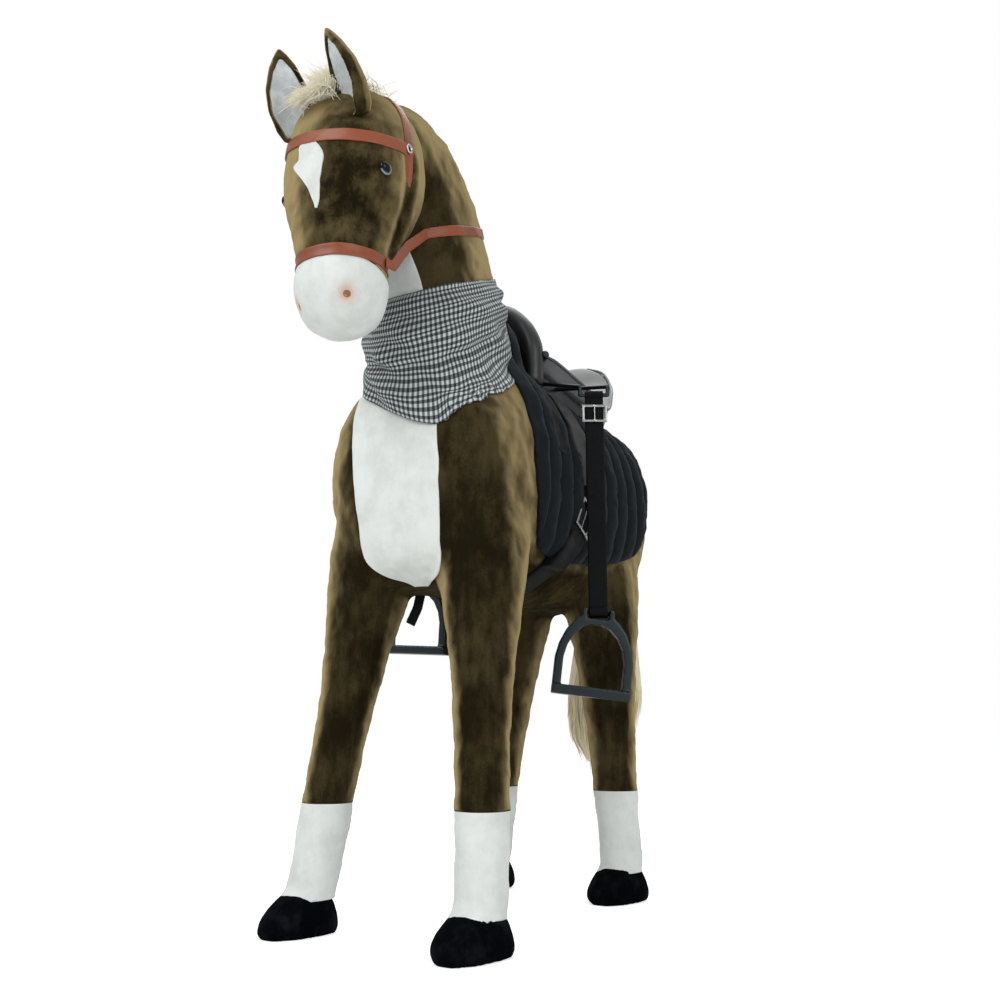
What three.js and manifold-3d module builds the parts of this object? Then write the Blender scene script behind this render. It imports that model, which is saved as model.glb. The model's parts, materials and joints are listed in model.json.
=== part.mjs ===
// A standing plush riding horse with its bridle, neckerchief, saddle pad, saddle, girth and stirrups.
// Millimetres, +Z up. The horse looks along -Y and its left side is +X. The floor is z = 0.
import * as THREE from "three";
import { mergeVertices } from "three/addons/utils/BufferGeometryUtils.js";
import Module from "manifold-3d";

const wasm = await Module();
wasm.setup();

// Clearances
const GAP = 0.3; // between two pieces that touch
const SLACK = 0.5; // round a loop that turns on a bar
const OVERRUN = 40; // how far a cutter reaches past what it cuts
const WELD = 1e-4; // corners nearer than this are one

// Stance: the ankles, where each hoof meets its sock
const FRONT_STANCE = 296;
const REAR_STANCE = 265;
const HOOF_BASE = 483; // front ankles to rear ankles
const HOOF_HEIGHT = 52;
const SOCK_TOP = 179;
const SOCK_LEAN_IN = 11;
const FRONT_SOCK_LEAN_BACK = 17;
const REAR_SOCK_LEAN_BACK = 5;

// Trunk
const BELLY_HEIGHT = 497;
const BACK_HEIGHT = 862;
const BODY_WIDTH = 324;
const BODY_LENGTH = 715;
const CHEST_FRONT = -22; // y of the chest, measured from the front ankles
const BODY_MIDDLE = (BELLY_HEIGHT + BACK_HEIGHT) / 2;
const BODY_DEPTH = BACK_HEIGHT - BELLY_HEIGHT;
const BODY_SIDES = 20;

// Each row of a form: the place along its spine, then the half width, the reach to the
// front (or top) and the reach to the back (or bottom), all as shares.
const BODY_SHARES = [
  [0, 0.56, 0.3, 0.3],
  [0.03, 0.84, 0.76, 0.8],
  [0.08, 0.98, 0.98, 0.97],
  [0.15, 1.02, 1.12, 1],
  [0.23, 1.01, 1.2, 1.01],
  [0.31, 0.99, 1.14, 1.01],
  [0.42, 0.98, 1.05, 1.01],
  [0.68, 0.99, 1, 0.99],
  [0.78, 0.99, 1.02, 0.97],
  [0.86, 0.92, 1, 0.92],
  [0.92, 0.78, 0.93, 0.8],
  [0.965, 0.56, 0.74, 0.58],
  [1, 0.24, 0.38, 0.28],
];
const BODY_POWER = 2.35;

// Neck
const NECK_WIDTH = 236;
const NECK_DEPTH = 292;
const NECK_SIDES = 16;
const NECK_POWER = 2.5;
// The neck's spine: y as a share of the trunk's length behind the chest, z above the back as a
// share of the neck's rise.
const NECK_RISE = 298;
const NECK_SPINE_SHARES = [
  [0.225, -0.2],
  [0.2, 0.13],
  [0.162, 0.41],
  [0.12, 0.65],
  [0.058, 0.86],
  [-0.03, 0.97],
  [-0.12, 0.98],
];
const NECK_SHARES = [
  [0, 0.88, 1, 1],
  [0.17, 0.82, 0.87, 0.84],
  [0.34, 0.73, 0.74, 0.73],
  [0.5, 0.67, 0.66, 0.76],
  [0.66, 0.66, 0.6, 0.79],
  [0.8, 0.69, 0.54, 0.77],
  [0.92, 0.68, 0.46, 0.69],
  [1, 0.56, 0.34, 0.55],
];

// Head, from the lips up to the skull
const HEAD_HEIGHT = 362;
const HEAD_WIDTH = 206;
const HEAD_DEPTH = 204;
const LIPS_BELOW_BACK = 21;
const HEAD_AHEAD = 126; // y of the lips ahead of the chest
const HEAD_SIDES = 16;
const HEAD_POWER = 2.1;
const HEAD_SPINE_SHARES = [
  [0, 0],
  [0.015, 0.16],
  [0.02, 0.32],
  [0.005, 0.52],
  [-0.03, 0.74],
  [-0.07, 0.9],
  [-0.1, 1],
];
const HEAD_SHARES = [
  [0, 0.25, 0.24, 0.24],
  [0.04, 0.48, 0.47, 0.47],
  [0.12, 0.615, 0.61, 0.61],
  [0.2, 0.645, 0.64, 0.64],
  [0.27, 0.63, 0.62, 0.62],
  [0.33, 0.64, 0.62, 0.64],
  [0.42, 0.74, 0.7, 0.82],
  [0.53, 0.87, 0.8, 1.02],
  [0.66, 0.95, 0.88, 1.12],
  [0.78, 0.965, 0.94, 1.08],
  [0.88, 0.92, 0.92, 0.94],
  [0.955, 0.78, 0.8, 0.76],
  [1, 0.42, 0.46, 0.42],
];
const NOSEBAND_SHARE = 0.285; // the noseband's middle, up the head
const BROWBAND_SHARE = 0.782;
const CHEEK_PLANE_BACK = 20; // the cheek straps' plane behind the head's spine

// Legs: centre, half width, front and back reach; the heights are shares of the way from the
// sock's top into the trunk.
const LEG_TOP_SHARE = 0.42; // how far up the trunk a leg's form reaches
const LEG_WIDTH = 76; // at the sock's top
const LEG_SIDES = 10;
const FRONT_LEG_SHARES = [
  [0, 1, 1, 1],
  [0.16, 1.02, 1.02, 1.02],
  [0.34, 1.16, 1.1, 1.14],
  [0.5, 1.38, 1.26, 1.34],
  [0.64, 1.66, 1.52, 1.74],
  [0.8, 1.84, 1.9, 2.2],
  [1, 1.4, 1.9, 2.3],
];
const REAR_LEG_SHARES = [
  [0, 1, 1, 1],
  [0.16, 1.08, 1.1, 1.08],
  [0.34, 1.25, 1.3, 1.25],
  [0.5, 1.46, 1.62, 1.55],
  [0.64, 1.68, 2.05, 2.05],
  [0.8, 1.75, 2.5, 2.5],
  [1, 1.4, 2.6, 2.6],
];
const FRONT_LEG_IN = 43; // how far the shoulder's centre stands inside the sock's
const FRONT_LEG_BACK = 66;
const REAR_LEG_IN = 42;
const REAR_LEG_BACK = 34;

// Socks and hooves
const SOCK_SHARES = [
  [0, 0.93, 0.93, 0.93],
  [0.12, 0.97, 0.97, 0.97],
  [0.5, 0.96, 0.96, 0.96],
  [0.9, 1.03, 1.03, 1.03],
  [1, 1, 1, 1],
];
const HOOF_WIDTH = 97;
const HOOF_TOE = 98; // toe ahead of the ankle
const HOOF_HEEL = 23;
const HOOF_SIDES = 12;
const HOOF_SHARES = [
  [0, 0.9, 0.92, 0.92],
  [0.16, 1, 1, 1],
  [0.42, 0.98, 0.95, 0.98],
  [0.68, 0.87, 0.8, 0.88],
  [0.88, 0.74, 0.62, 0.78],
  [1, 0.66, 0.5, 0.7],
];

// White panels and the blaze, sewn flush on the pile
const PANEL_THICKNESS = 2;
const CHEST_PANEL_HALF = 78;
const CHEST_PANEL_BELOW_BACK = 40;
const CHEST_PANEL_SHARES = [
  [-0.8, 1],
  [0.8, 1],
  [1, 0.62],
  [0.9, 0.1],
  [0.5, 0.02],
  [0.2, -0.06],
  [-0.2, -0.06],
  [-0.5, 0.02],
  [-0.9, 0.1],
  [-1, 0.62],
];
const THROAT_PANEL_HALF = 60;
const THROAT_PANEL_ABOVE_BACK = 200;
const THROAT_PANEL_SHARES = [
  [-1, 0],
  [1, 0],
  [0.62, 0.6],
  [0.3, 1],
  [-0.3, 1],
  [-0.62, 0.6],
];
const BLAZE_WIDTH = 50;
const BLAZE_HEIGHT = 108;
const BLAZE_TOP_BELOW_BROWBAND = 3;
const BLAZE_SHARES = [
  [-0.12, 0],
  [0.12, -0.04],
  [0.45, -0.13],
  [0.5, -0.28],
  [0.32, -0.55],
  [0.24, -0.85],
  [0.08, -1],
  [-0.1, -0.84],
  [-0.48, -0.52],
  [-0.58, -0.38],
  [-0.22, -0.2],
];

// Ears
const EAR_LENGTH = 128;
const EAR_WIDTH = 65;
const EAR_CUP = 62;
const EAR_RIM = 4;
const EAR_TIP_SHARE = 0.07; // of the length, left solid at the tip
const EAR_LINING = 2.4;
const EAR_SIDES = 10;
const EAR_SPREAD = 58; // half the distance between the ears
const EAR_FORWARD_DEG = 27;
const EAR_OUT_DEG = -6;
const EAR_TURN_DEG = -30; // how far each opening turns outwards
const EAR_SEAT_SHARE = 0.83; // up the head
const EAR_AHEAD = 74; // of the head's spine
const EAR_SHARES = [
  [0, 0.5, 0.24, 0.7],
  [0.12, 0.76, 0.28, 0.96],
  [0.36, 1, 0.28, 1],
  [0.6, 0.94, 0.24, 0.82],
  [0.82, 0.6, 0.18, 0.5],
  [0.94, 0.28, 0.12, 0.22],
  [1, 0.08, 0.05, 0.05],
];

// The hollow's rows: the front reach is past the ear's own, so that the hollow opens forwards
const EAR_HOLLOW_SHARES = [
  [0, 0.5, 1.2, 0.4],
  [0.36, 1, 1.2, 0.7],
  [0.6, 0.94, 1.2, 0.54],
  [0.82, 0.62, 1.2, 0.26],
  [1, 0.22, 1.2, 0.18],
];

// Eyes: a glass-like dome on a shank that a lock washer would hold behind the cloth
const EYE_RADIUS = 9;
const EYE_DOME = 5;
const EYE_SHANK_RADIUS = 2.5;
const EYE_SHANK = 16;
const EYE_SIDES = 16;
const EYE_SHARE = 0.625; // up the head
const EYE_AHEAD = 9; // of the head's spine
const EYE_TURN_DEG = 14; // how far the eye looks forward of straight out

// Hair
const MANE_THICKNESS = 20;
const MANE_DROP = 105;
const MANE_ROW_SHARES = [0.42, 0.52, 0.64, 0.76, 0.88, 0.97]; // along the neck's spine
const FORELOCK_LENGTH = 92;
const FORELOCK_WIDTH = 56;
const FORELOCK_SPINE_SHARES = [
  [0.1, -0.02],
  [0.62, 0.1],
  [1.1, -0.22],
];
const FORELOCK_SHARES = [
  [0, 0.5, 0.5, 0.4],
  [0.3, 1, 1, 0.6],
  [0.7, 0.85, 0.8, 0.5],
  [1, 0.25, 0.25, 0.2],
];
const TAIL_LENGTH = 590;
const TAIL_WIDTH = 152;
const TAIL_DEPTH = 74;
const DOCK_BELOW_BACK = 56;
const TAIL_SEAT_SHARE = 0.03; // of the trunk's length, inside the rump
const TAIL_SHARES = [
  [0, 0.14, 0.34, 0.34],
  [0.08, 0.3, 0.62, 0.62],
  [0.3, 0.58, 0.9, 0.9],
  [0.6, 0.86, 1, 1],
  [0.8, 1, 0.96, 0.96],
  [0.93, 0.84, 0.7, 0.7],
  [1, 0.4, 0.3, 0.3],
];
const TAIL_SPINE_SHARES = [
  [0, 0],
  [0.09, -0.05],
  [0.12, -0.26],
  [0.08, -0.64],
  [0.03, -1],
];

// Steel frame inside: a spine tube, an inverted U through each pair of legs, and a neck tube
const TUBE_RADIUS = 11;
const TUBE_SIDES = 6;
const FRAME_CLEAR = 2.5; // round the frame, inside the stuffing
const SPINE_TUBE_ABOVE_MIDDLE = 20.5;
const FRAME_INSET_SHARE = 0.12; // of the trunk's length, from each end to the spine tube
const NECK_TUBE_SHARES = [0.12, 0.45, 0.72, 0.93];
const FOOT_PLATE_RADIUS = 24;
const FOOT_PLATE_THICKNESS = 4;
const FOOT_PLATE_HEIGHT = 12; // over the floor, inside the hoof

// Bridle
const STRAP_THICKNESS = 2.4;
const BRIDLE_WIDTH = 18;
const BROWBAND_TILT_DEG = 7;
const SNAP_RADIUS = 7;
const SNAP_HEIGHT = 3;
const SNAP_SIDES = 14;
const REIN_WIDTH = 17;
const REIN_DROP = 80; // below the neck's top, where its plane crosses the neck's spine
const REIN_TILT_DEG = 22;
const REIN_FRONT_Y = 4; // where the rein leaves the neck, behind the chest

// Neckerchief: rings from its lower edge to its upper edge, leaning with the neck
const SCARF_SIDES = 22;
const SCARF_WIDTH = 224;
const SCARF_DEPTH = 226;
const SCARF_BELOW_BACK = 24; // the middle of its lower edge
const SCARF_HEIGHT = 160;
const SCARF_Y = 83;
const SCARF_FOLD = 5;
const SCARF_WAVES = 5;
// Each ring: up the height, half width, half depth, shift along X, lean along Y, lean along X,
// fold, turn of the folds, squareness of the left side
const SCARF_RING_SHARES = [
  [0, 1.08, 0.94, 0.085, 0.8, -0.27, 1, 0, 1.5],
  [0.03, 1.17, 1.02, 0.08, 0.8, -0.27, 1, 0.02, 1.5],
  [0.2, 1.14, 1.03, 0.06, 0.76, -0.22, 0.9, 0.1, 1.4],
  [0.36, 1.04, 0.98, 0.03, 0.7, -0.14, 0.5, 0.2, 1.3],
  [0.42, 0.94, 0.93, 0, 0.68, -0.1, 0.3, 0.26, 1.2],
  [0.48, 1.02, 0.99, 0, 0.66, -0.08, 0.5, 0.3, 1.1],
  [0.64, 1.01, 1.01, 0, 0.6, -0.02, 0.7, 0.42, 1],
  [0.82, 0.93, 0.98, 0, 0.54, 0, 0.5, 0.56, 1],
  [0.96, 0.8, 0.92, 0, 0.48, 0, 0.3, 0.66, 1],
  [1, 0.7, 0.84, 0, 0.46, 0, 0.2, 0.7, 1],
];

// Saddle pad, its channels sewn from the back down each flank
const PAD_THICKNESS = 13;
const PAD_SEAM = 7; // thickness in a seam
const PAD_FRONT = 126; // y of the front edge on the flank
const PAD_LENGTH = 468;
const PAD_ABOVE_BELLY = 65;
const PAD_TOP_CLEAR = 150; // outline above the back
const PAD_CHANNELS = 9;
const PAD_MARGIN = 40; // of quilting past the outline, before it is cut
const PAD_EDGE_SHARES = [
  [0, 0.2],
  [-0.025, 0.5],
  [-0.02, 0.75],
  [0.06, 1],
  [0.98, 1],
  [1, 0.62],
  [0.965, 0.3],
  [0.9, 0.13],
  [0.8, 0.06],
  [0.5, 0],
  [0.2, -0.01],
  [0.06, 0.02],
];

// Saddle: stations from the pommel to the cantle
const SEAT_FRONT = 268;
const SEAT_LENGTH = 292;
const SEAT_WIDTH = 290;
const SEAT_BELOW_BACK = 22;
const SEAT_RISE = 168;
// Each station: along the seat, half width, then the heights of the edge, the middle and the underside
const SEAT_SHARES = [
  [0, 0.77, 0.5, 0.64, 0.32],
  [0.07, 0.8, 0.49, 0.6, 0.3],
  [0.23, 0.84, 0.43, 0.48, 0.25],
  [0.46, 0.945, 0.285, 0.4, 0.13],
  [0.6, 1, 0.18, 0.4, 0.03],
  [0.76, 0.915, 0.45, 0.5, 0],
  [0.88, 0.78, 0.65, 0.67, 0],
  [0.95, 0.6, 0.86, 0.88, 0],
  [1, 0.345, 0.97, 1, 0.05],
];
const SEAT_TUCK_SHARE = 0.93; // the underside's half width, of the top's
const PANEL_DEPTH = 144; // of its form below the seat, before the pad is cut from it
const SEAT_TOP_SHARES = [-1, -0.8, -0.5, -0.2, 0.2, 0.5, 0.8, 1];
const PANEL_INSET_SHARE = 0.86; // the stuffed panel's half width, of the seat's
const POMMEL_HALF = 91;
const POMMEL_RADIUS = 19;
const POMMEL_RISE = 140;
const POMMEL_ABOVE_BACK = 10; // its feet
const POMMEL_Y = 252;
const POMMEL_WEB = 12;
const POMMEL_SHARES = [
  [1, 0],
  [1, 0.3],
  [0.97, 0.5],
  [0.78, 0.75],
  [0.5, 0.93],
  [0.2, 1],
];
const FLAP_TOP_WIDTH = 78;
const FLAP_FRONT = 236;
const FLAP_REACH_SHARE = 0.488; // of the trunk's depth, from the back down to its lower edge
const FLAP_THICKNESS = 4;
const FLAP_EDGE_SHARES = [
  [0, 1],
  [0.2, 0.3],
  [0.46, 0],
  [0.84, 0],
  [1, 0.34],
  [1, 1],
];
const BILLET_WIDTH = 34;
const BILLET_Y = 178;
const BILLET_REACH_SHARE = 0.3836;
const BILLET_EDGE_SHARES = [
  [-0.3, 1],
  [0.2, 0],
  [1.2, 0],
  [0.7, 1],
];

// Girth
const GIRTH_WIDTH = 50;
const GIRTH_THICKNESS = 6;
const GIRTH_TILT_DEG = 30;
const GIRTH_Y = 240; // where its middle passes the crossing
const GIRTH_CROSSING = 48; // above the belly
const GIRTH_BELOW_FLAP = 80; // its ends, with room for the buckles
const GIRTH_LEDGE = 20; // where it steps over the pad's edge
const GIRTH_BUCKLE_WIDTH = 54;
const GIRTH_BUCKLE_HEIGHT = 56;
const GIRTH_BUCKLE_ABOVE = 24; // its middle above the girth's end
const WIRE_RADIUS = 2;
const GIRTH_TONGUE_SHARES = [-0.35, 0.35];
const ROD_SIDES = 6;
const LOOP_SIDES = 16;

// Stirrups
const LEFT_STIRRUP_TURN_DEG = 31; // the leathers are twisted to face forward
const RIGHT_STIRRUP_TURN_DEG = 10;
const STIRRUP_STAND = 35; // the bars' middles outside the trunk
const LEFT_STIRRUP_Y = 274;
const RIGHT_STIRRUP_Y = 330;
const STIRRUP_BELOW_BACK = 24; // the bars
const LEATHER_WIDTH = 31;
const LEATHER_THICKNESS = 3;
const LEFT_IRON_BELOW_BELLY = 27; // the left iron's top bar
const RIGHT_IRON_ABOVE_BELLY = 59; // the right iron's
const LEATHER_END = 80; // how far the right leather's free end hangs below its iron's top bar
const LEATHER_END_WIDTH = 20;
// The free end's run: aside, back and down, as shares of the width, the iron's depth and its length
const LEATHER_END_SHARES = [
  [0, 0, 0.4],
  [0, 0.05, 0.8],
  [-0.1, 0.45, 1.1],
  [-0.4, 0.5, 1.6],
  [-0.9, 0.5, 2],
];
const BAR_RADIUS = 4;
const HANGER_FOOT_X = 92;
const HANGER_BACK = 24; // how far behind the bar they are
const HANGER_RISE = 40;
const HANGER_LIFT = 15; // how far each arm rises from the bar before it turns inwards
const BUCKLE_WIDTH = 42;
const BUCKLE_HEIGHT = 30;
const BUCKLE_BELOW_BAR = 34;
const IRON_SLACK = 2.6; // lets the iron tilt in its loop
const LEFT_IRON_TILT_DEG = 7;
const RIGHT_IRON_TILT_DEG = 3;
const IRON_WIDTH = 124;
const IRON_HEIGHT = 140;
const IRON_DEPTH = 24;
const TREAD_DEPTH = 36;
const TREAD_HEIGHT = 15;
const IRON_OUTER_SHARES = [
  [1, 0],
  [1, 0.42],
  [0.93, 0.58],
  [0.78, 0.74],
  [0.56, 0.86],
  [0.42, 0.91],
  [0.4, 1],
];
const IRON_INNER_SHARES = [
  [0.79, 0.1],
  [0.79, 0.42],
  [0.72, 0.56],
  [0.57, 0.69],
  [0.34, 0.785],
  [0.12, 0.82],
];

// Materials, one for each finish
function finish(color, roughness, metalness = 0) {
  return new THREE.MeshStandardMaterial({ color, roughness, metalness });
}

const BROWN_PLUSH = finish(0x4a3a1e, 0.9);
const WHITE_PLUSH = finish(0xecebe6, 0.92);
const BLACK_PLUSH = finish(0x14161a, 0.9);
const CREAM_HAIR = finish(0xdccfa2, 0.85);
const EAR_CLOTH = finish(0xc4ccc8, 0.9);
const BROWN_LEATHER = finish(0xa8552f, 0.5);
const BLACK_LEATHER = finish(0x1b1d1f, 0.4);
const QUILTED_CLOTH = finish(0x20262a, 0.85);
const BLACK_WEBBING = finish(0x17191b, 0.8);
const GINGHAM = finish(0xb9bcbd, 0.9);
const BLACK_IRON = finish(0x32383c, 0.45, 0.6);
const BRIGHT_STEEL = finish(0xb8bab8, 0.3, 1);
const FRAME_STEEL = finish(0x6d7072, 0.5, 1);
const EYE_PLASTIC = finish(0x15171c, 0.12);

const X_AXIS = new THREE.Vector3(1, 0, 0);
const Y_AXIS = new THREE.Vector3(0, 1, 0);
const Z_AXIS = new THREE.Vector3(0, 0, 1);

// Solids

function solid(geometry) {
  const bare = new THREE.BufferGeometry();
  const source = geometry.index ? geometry.toNonIndexed() : geometry;
  bare.setAttribute("position", source.getAttribute("position").clone());
  const merged = mergeVertices(bare, WELD);
  const made = new wasm.Manifold(
    new wasm.Mesh({
      numProp: 3,
      vertProperties: merged.attributes.position.array,
      triVerts: new Uint32Array(merged.index.array),
    }),
  );
  return made;
}

function geometryOf(made) {
  const mesh = made.getMesh();
  const points = new Float32Array(mesh.numVert * 3);
  for (let i = 0; i < mesh.numVert; i++) {
    points.set(mesh.vertProperties.subarray(i * mesh.numProp, i * mesh.numProp + 3), i * 3);
  }
  const geometry = new THREE.BufferGeometry();
  geometry.setAttribute("position", new THREE.BufferAttribute(points, 3));
  geometry.setIndex(new THREE.BufferAttribute(new Uint32Array(mesh.triVerts), 1));
  const flat = geometry.toNonIndexed();
  flat.computeVertexNormals();
  return flat;
}

function cut(piece, ...cutters) {
  return cutters.reduce((left, cutter) => left.subtract(cutter), piece);
}

function join(first, ...others) {
  return others.reduce((sum, other) => sum.add(other), first);
}

// The largest body of a cut piece, without the slivers that a shallow cut leaves
function mainBody(piece) {
  const bodies = piece.decompose();
  bodies.sort((a, b) => b.volume() - a.volume());
  return bodies[0];
}

// A closed surface over rings with the same number of points, with a flat cap at each end
function skinOver(rings) {
  const sides = rings[0].length;
  const points = rings.flat();
  const faces = [];
  for (let i = 0; i + 1 < rings.length; i++) {
    for (let k = 0; k < sides; k++) {
      const next = (k + 1) % sides;
      const a = i * sides + k;
      const b = i * sides + next;
      const c = (i + 1) * sides + next;
      const d = (i + 1) * sides + k;
      faces.push(a, b, c, a, c, d);
    }
  }
  [0, rings.length - 1].forEach((end, flipped) => {
    const centre = new THREE.Vector3();
    rings[end].forEach((p) => centre.add(p));
    points.push(centre.divideScalar(sides));
    for (let k = 0; k < sides; k++) {
      const a = end * sides + k;
      const b = end * sides + ((k + 1) % sides);
      faces.push(points.length - 1, ...(flipped ? [a, b] : [b, a]));
    }
  });
  const geometry = new THREE.BufferGeometry().setFromPoints(points);
  geometry.setIndex(faces);
  const volume = signedVolume(points, faces);
  if (volume < 0) {
    for (let i = 0; i < faces.length; i += 3) {
      [faces[i + 1], faces[i + 2]] = [faces[i + 2], faces[i + 1]];
    }
    geometry.setIndex(faces);
  }
  return solid(geometry);
}

function signedVolume(points, faces) {
  const crossed = new THREE.Vector3();
  let sum = 0;
  for (let i = 0; i < faces.length; i += 3) {
    crossed.crossVectors(points[faces[i + 1]], points[faces[i + 2]]);
    sum += points[faces[i]].dot(crossed);
  }
  return sum;
}

function bent(value, power) {
  return Math.sign(value) * Math.abs(value) ** (2 / power);
}

// A swelling and tapering form: rings across a spine, each with its own half width along the
// side axis and its own reach to the front and back
function form({ spine, halfWidth, halfDepth, rows, sides, power = 2, side = X_AXIS }, grow = 0) {
  const rings = rows.map(([at, half, front, back], index) => {
    const tangent = spine.getTangentAt(at);
    const centre = spine.getPointAt(at);
    if (index === 0) centre.addScaledVector(tangent, -grow);
    if (index === rows.length - 1) centre.addScaledVector(tangent, grow);
    const across = side.clone().addScaledVector(tangent, -side.dot(tangent)).normalize();
    const ahead = new THREE.Vector3().crossVectors(across, tangent);
    return Array.from({ length: sides }, (_, k) => {
      const angle = (2 * Math.PI * (k + 0.5)) / sides;
      const wide = bent(Math.cos(angle), power) * (half * halfWidth + grow);
      const turn = bent(Math.sin(angle), power);
      const deep = turn * ((turn > 0 ? front : back) * halfDepth + grow);
      return centre.clone().addScaledVector(across, wide).addScaledVector(ahead, deep);
    });
  });
  return skinOver(rings);
}

function curve(points) {
  return new THREE.CatmullRomCurve3(points, false, "centripetal");
}

function vec(x, y, z) {
  return new THREE.Vector3(x, y, z);
}

// A prism of an outline: its points lie in the plane across `along`, and it runs from
// `start` to `end` on that axis
function prism(outline, along, start, end) {
  const shape = new THREE.Shape(outline.map(([u, v]) => new THREE.Vector2(u, v)));
  const geometry = new THREE.ExtrudeGeometry(shape, {
    depth: end - start,
    bevelEnabled: false,
  });
  geometry.translate(0, 0, start);
  if (along === "x") {
    geometry.applyMatrix4(new THREE.Matrix4().makeBasis(Y_AXIS, Z_AXIS, X_AXIS));
  } else if (along === "y") {
    geometry.applyMatrix4(
      new THREE.Matrix4().makeBasis(X_AXIS, Z_AXIS, Y_AXIS.clone().negate()),
    );
    geometry.applyMatrix4(new THREE.Matrix4().makeTranslation(0, start + end, 0));
  }
  return solid(geometry);
}

// A block with its own axes, centred at a point
function block(centre, axes, sizes) {
  const geometry = new THREE.BoxGeometry(...sizes);
  geometry.applyMatrix4(new THREE.Matrix4().makeBasis(...axes));
  geometry.translate(centre.x, centre.y, centre.z);
  return solid(geometry);
}

// A slab across the Y-Z plane: it holds `width` of whatever crosses it. Its normal leans from
// straight up towards +Y by the tilt.
function slab(centre, tiltDeg, width) {
  const tilt = THREE.MathUtils.degToRad(tiltDeg);
  const normal = vec(0, Math.sin(tilt), Math.cos(tilt));
  const along = vec(0, Math.cos(tilt), -Math.sin(tilt));
  const reach = 2 * BODY_LENGTH;
  return block(centre, [X_AXIS, along, normal], [reach, reach, width]);
}

// A flat strap through points, each with the direction of the strap's width there
function strap(stations, width, thickness) {
  const rings = stations.map(([point, across], i) => {
    const before = stations[Math.max(i - 1, 0)][0];
    const after = stations[Math.min(i + 1, stations.length - 1)][0];
    const along = after.clone().sub(before).normalize();
    const flat = across.clone().addScaledVector(along, -across.dot(along)).normalize();
    const normal = new THREE.Vector3().crossVectors(along, flat);
    const u = flat.multiplyScalar(width / 2);
    const v = normal.multiplyScalar(thickness / 2);
    return [
      point.clone().add(u).add(v),
      point.clone().sub(u).add(v),
      point.clone().sub(u).sub(v),
      point.clone().add(u).sub(v),
    ];
  });
  return skinOver(rings);
}

// A round rod through points: each ring is the last one carried along to the next mitre
function rod(points, radius, sides) {
  const along = points.slice(1).map((to, i) => to.clone().sub(points[i]).normalize());
  const hint = Math.abs(along[0].z) < 0.9 ? Z_AXIS : Y_AXIS;
  const u = new THREE.Vector3().crossVectors(along[0], hint).normalize();
  const v = new THREE.Vector3().crossVectors(along[0], u);
  let ring = Array.from({ length: sides }, (_, k) => {
    const angle = (2 * Math.PI * k) / sides;
    return points[0]
      .clone()
      .addScaledVector(u, radius * Math.cos(angle))
      .addScaledVector(v, radius * Math.sin(angle));
  });
  const rings = [ring];
  along.forEach((run, i) => {
    const mitre = run.clone().add(along[i + 1] || run).normalize();
    ring = ring.map((p) => {
      const reach = mitre.dot(points[i + 1].clone().sub(p)) / mitre.dot(run);
      return p.clone().addScaledVector(run, reach);
    });
    rings.push(ring);
  });
  return skinOver(rings);
}

function cylinder(radius, length, centre, axis, sides) {
  const geometry = new THREE.CylinderGeometry(radius, radius, length, sides);
  const turn = new THREE.Quaternion().setFromUnitVectors(Y_AXIS, axis.clone().normalize());
  geometry.applyQuaternion(turn);
  geometry.translate(centre.x, centre.y, centre.z);
  return solid(geometry);
}

const horse = new THREE.Group();

// Heights that follow the trunk
const lipsZ = BACK_HEIGHT - LIPS_BELOW_BACK;
const chestPanelTop = BACK_HEIGHT - CHEST_PANEL_BELOW_BACK;
const throatPanelTop = BACK_HEIGHT + THROAT_PANEL_ABOVE_BACK;
const spineTubeZ = BODY_MIDDLE + SPINE_TUBE_ABOVE_MIDDLE;
const padBottom = BELLY_HEIGHT + PAD_ABOVE_BELLY;
const seatBase = BACK_HEIGHT - SEAT_BELOW_BACK;
const pommelFoot = BACK_HEIGHT + POMMEL_ABOVE_BACK;
const flapBottom = BACK_HEIGHT - FLAP_REACH_SHARE * BODY_DEPTH;
const billetBottom = BACK_HEIGHT - BILLET_REACH_SHARE * BODY_DEPTH;
const girthCrossing = BELLY_HEIGHT + GIRTH_CROSSING;
const girthTop = flapBottom - GIRTH_BELOW_FLAP;
const stirrupX = BODY_WIDTH / 2 + STIRRUP_STAND;
const stirrupBarZ = BACK_HEIGHT - STIRRUP_BELOW_BACK;
const leftLeather = stirrupBarZ - BELLY_HEIGHT + LEFT_IRON_BELOW_BELLY;
const rightLeather = stirrupBarZ - BELLY_HEIGHT - RIGHT_IRON_ABOVE_BELLY;

function add(name, made, material) {
  const mesh = new THREE.Mesh(geometryOf(made), material);
  mesh.name = name;
  horse.add(mesh);
  return made;
}

// Trunk, neck and head forms

const chestY = CHEST_FRONT;
const rumpY = CHEST_FRONT + BODY_LENGTH;
const bodySpec = {
  spine: new THREE.LineCurve3(vec(0, chestY, BODY_MIDDLE), vec(0, rumpY, BODY_MIDDLE)),
  halfWidth: BODY_WIDTH / 2,
  halfDepth: BODY_DEPTH / 2,
  rows: BODY_SHARES,
  sides: BODY_SIDES,
  power: BODY_POWER,
};
const neckSpine = curve(
  NECK_SPINE_SHARES.map(([back, rise]) =>
    vec(0, chestY + back * BODY_LENGTH, BACK_HEIGHT + rise * NECK_RISE),
  ),
);
const neckSpec = {
  spine: neckSpine,
  halfWidth: NECK_WIDTH / 2,
  halfDepth: NECK_DEPTH / 2,
  rows: NECK_SHARES,
  sides: NECK_SIDES,
  power: NECK_POWER,
};
const headSpine = curve(
  HEAD_SPINE_SHARES.map(([ahead, up]) =>
    vec(0, chestY - HEAD_AHEAD - ahead * HEAD_HEIGHT, lipsZ + up * HEAD_HEIGHT),
  ),
);
const headSpec = {
  spine: headSpine,
  halfWidth: HEAD_WIDTH / 2,
  halfDepth: HEAD_DEPTH / 2,
  rows: HEAD_SHARES,
  sides: HEAD_SIDES,
  power: HEAD_POWER,
};
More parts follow.
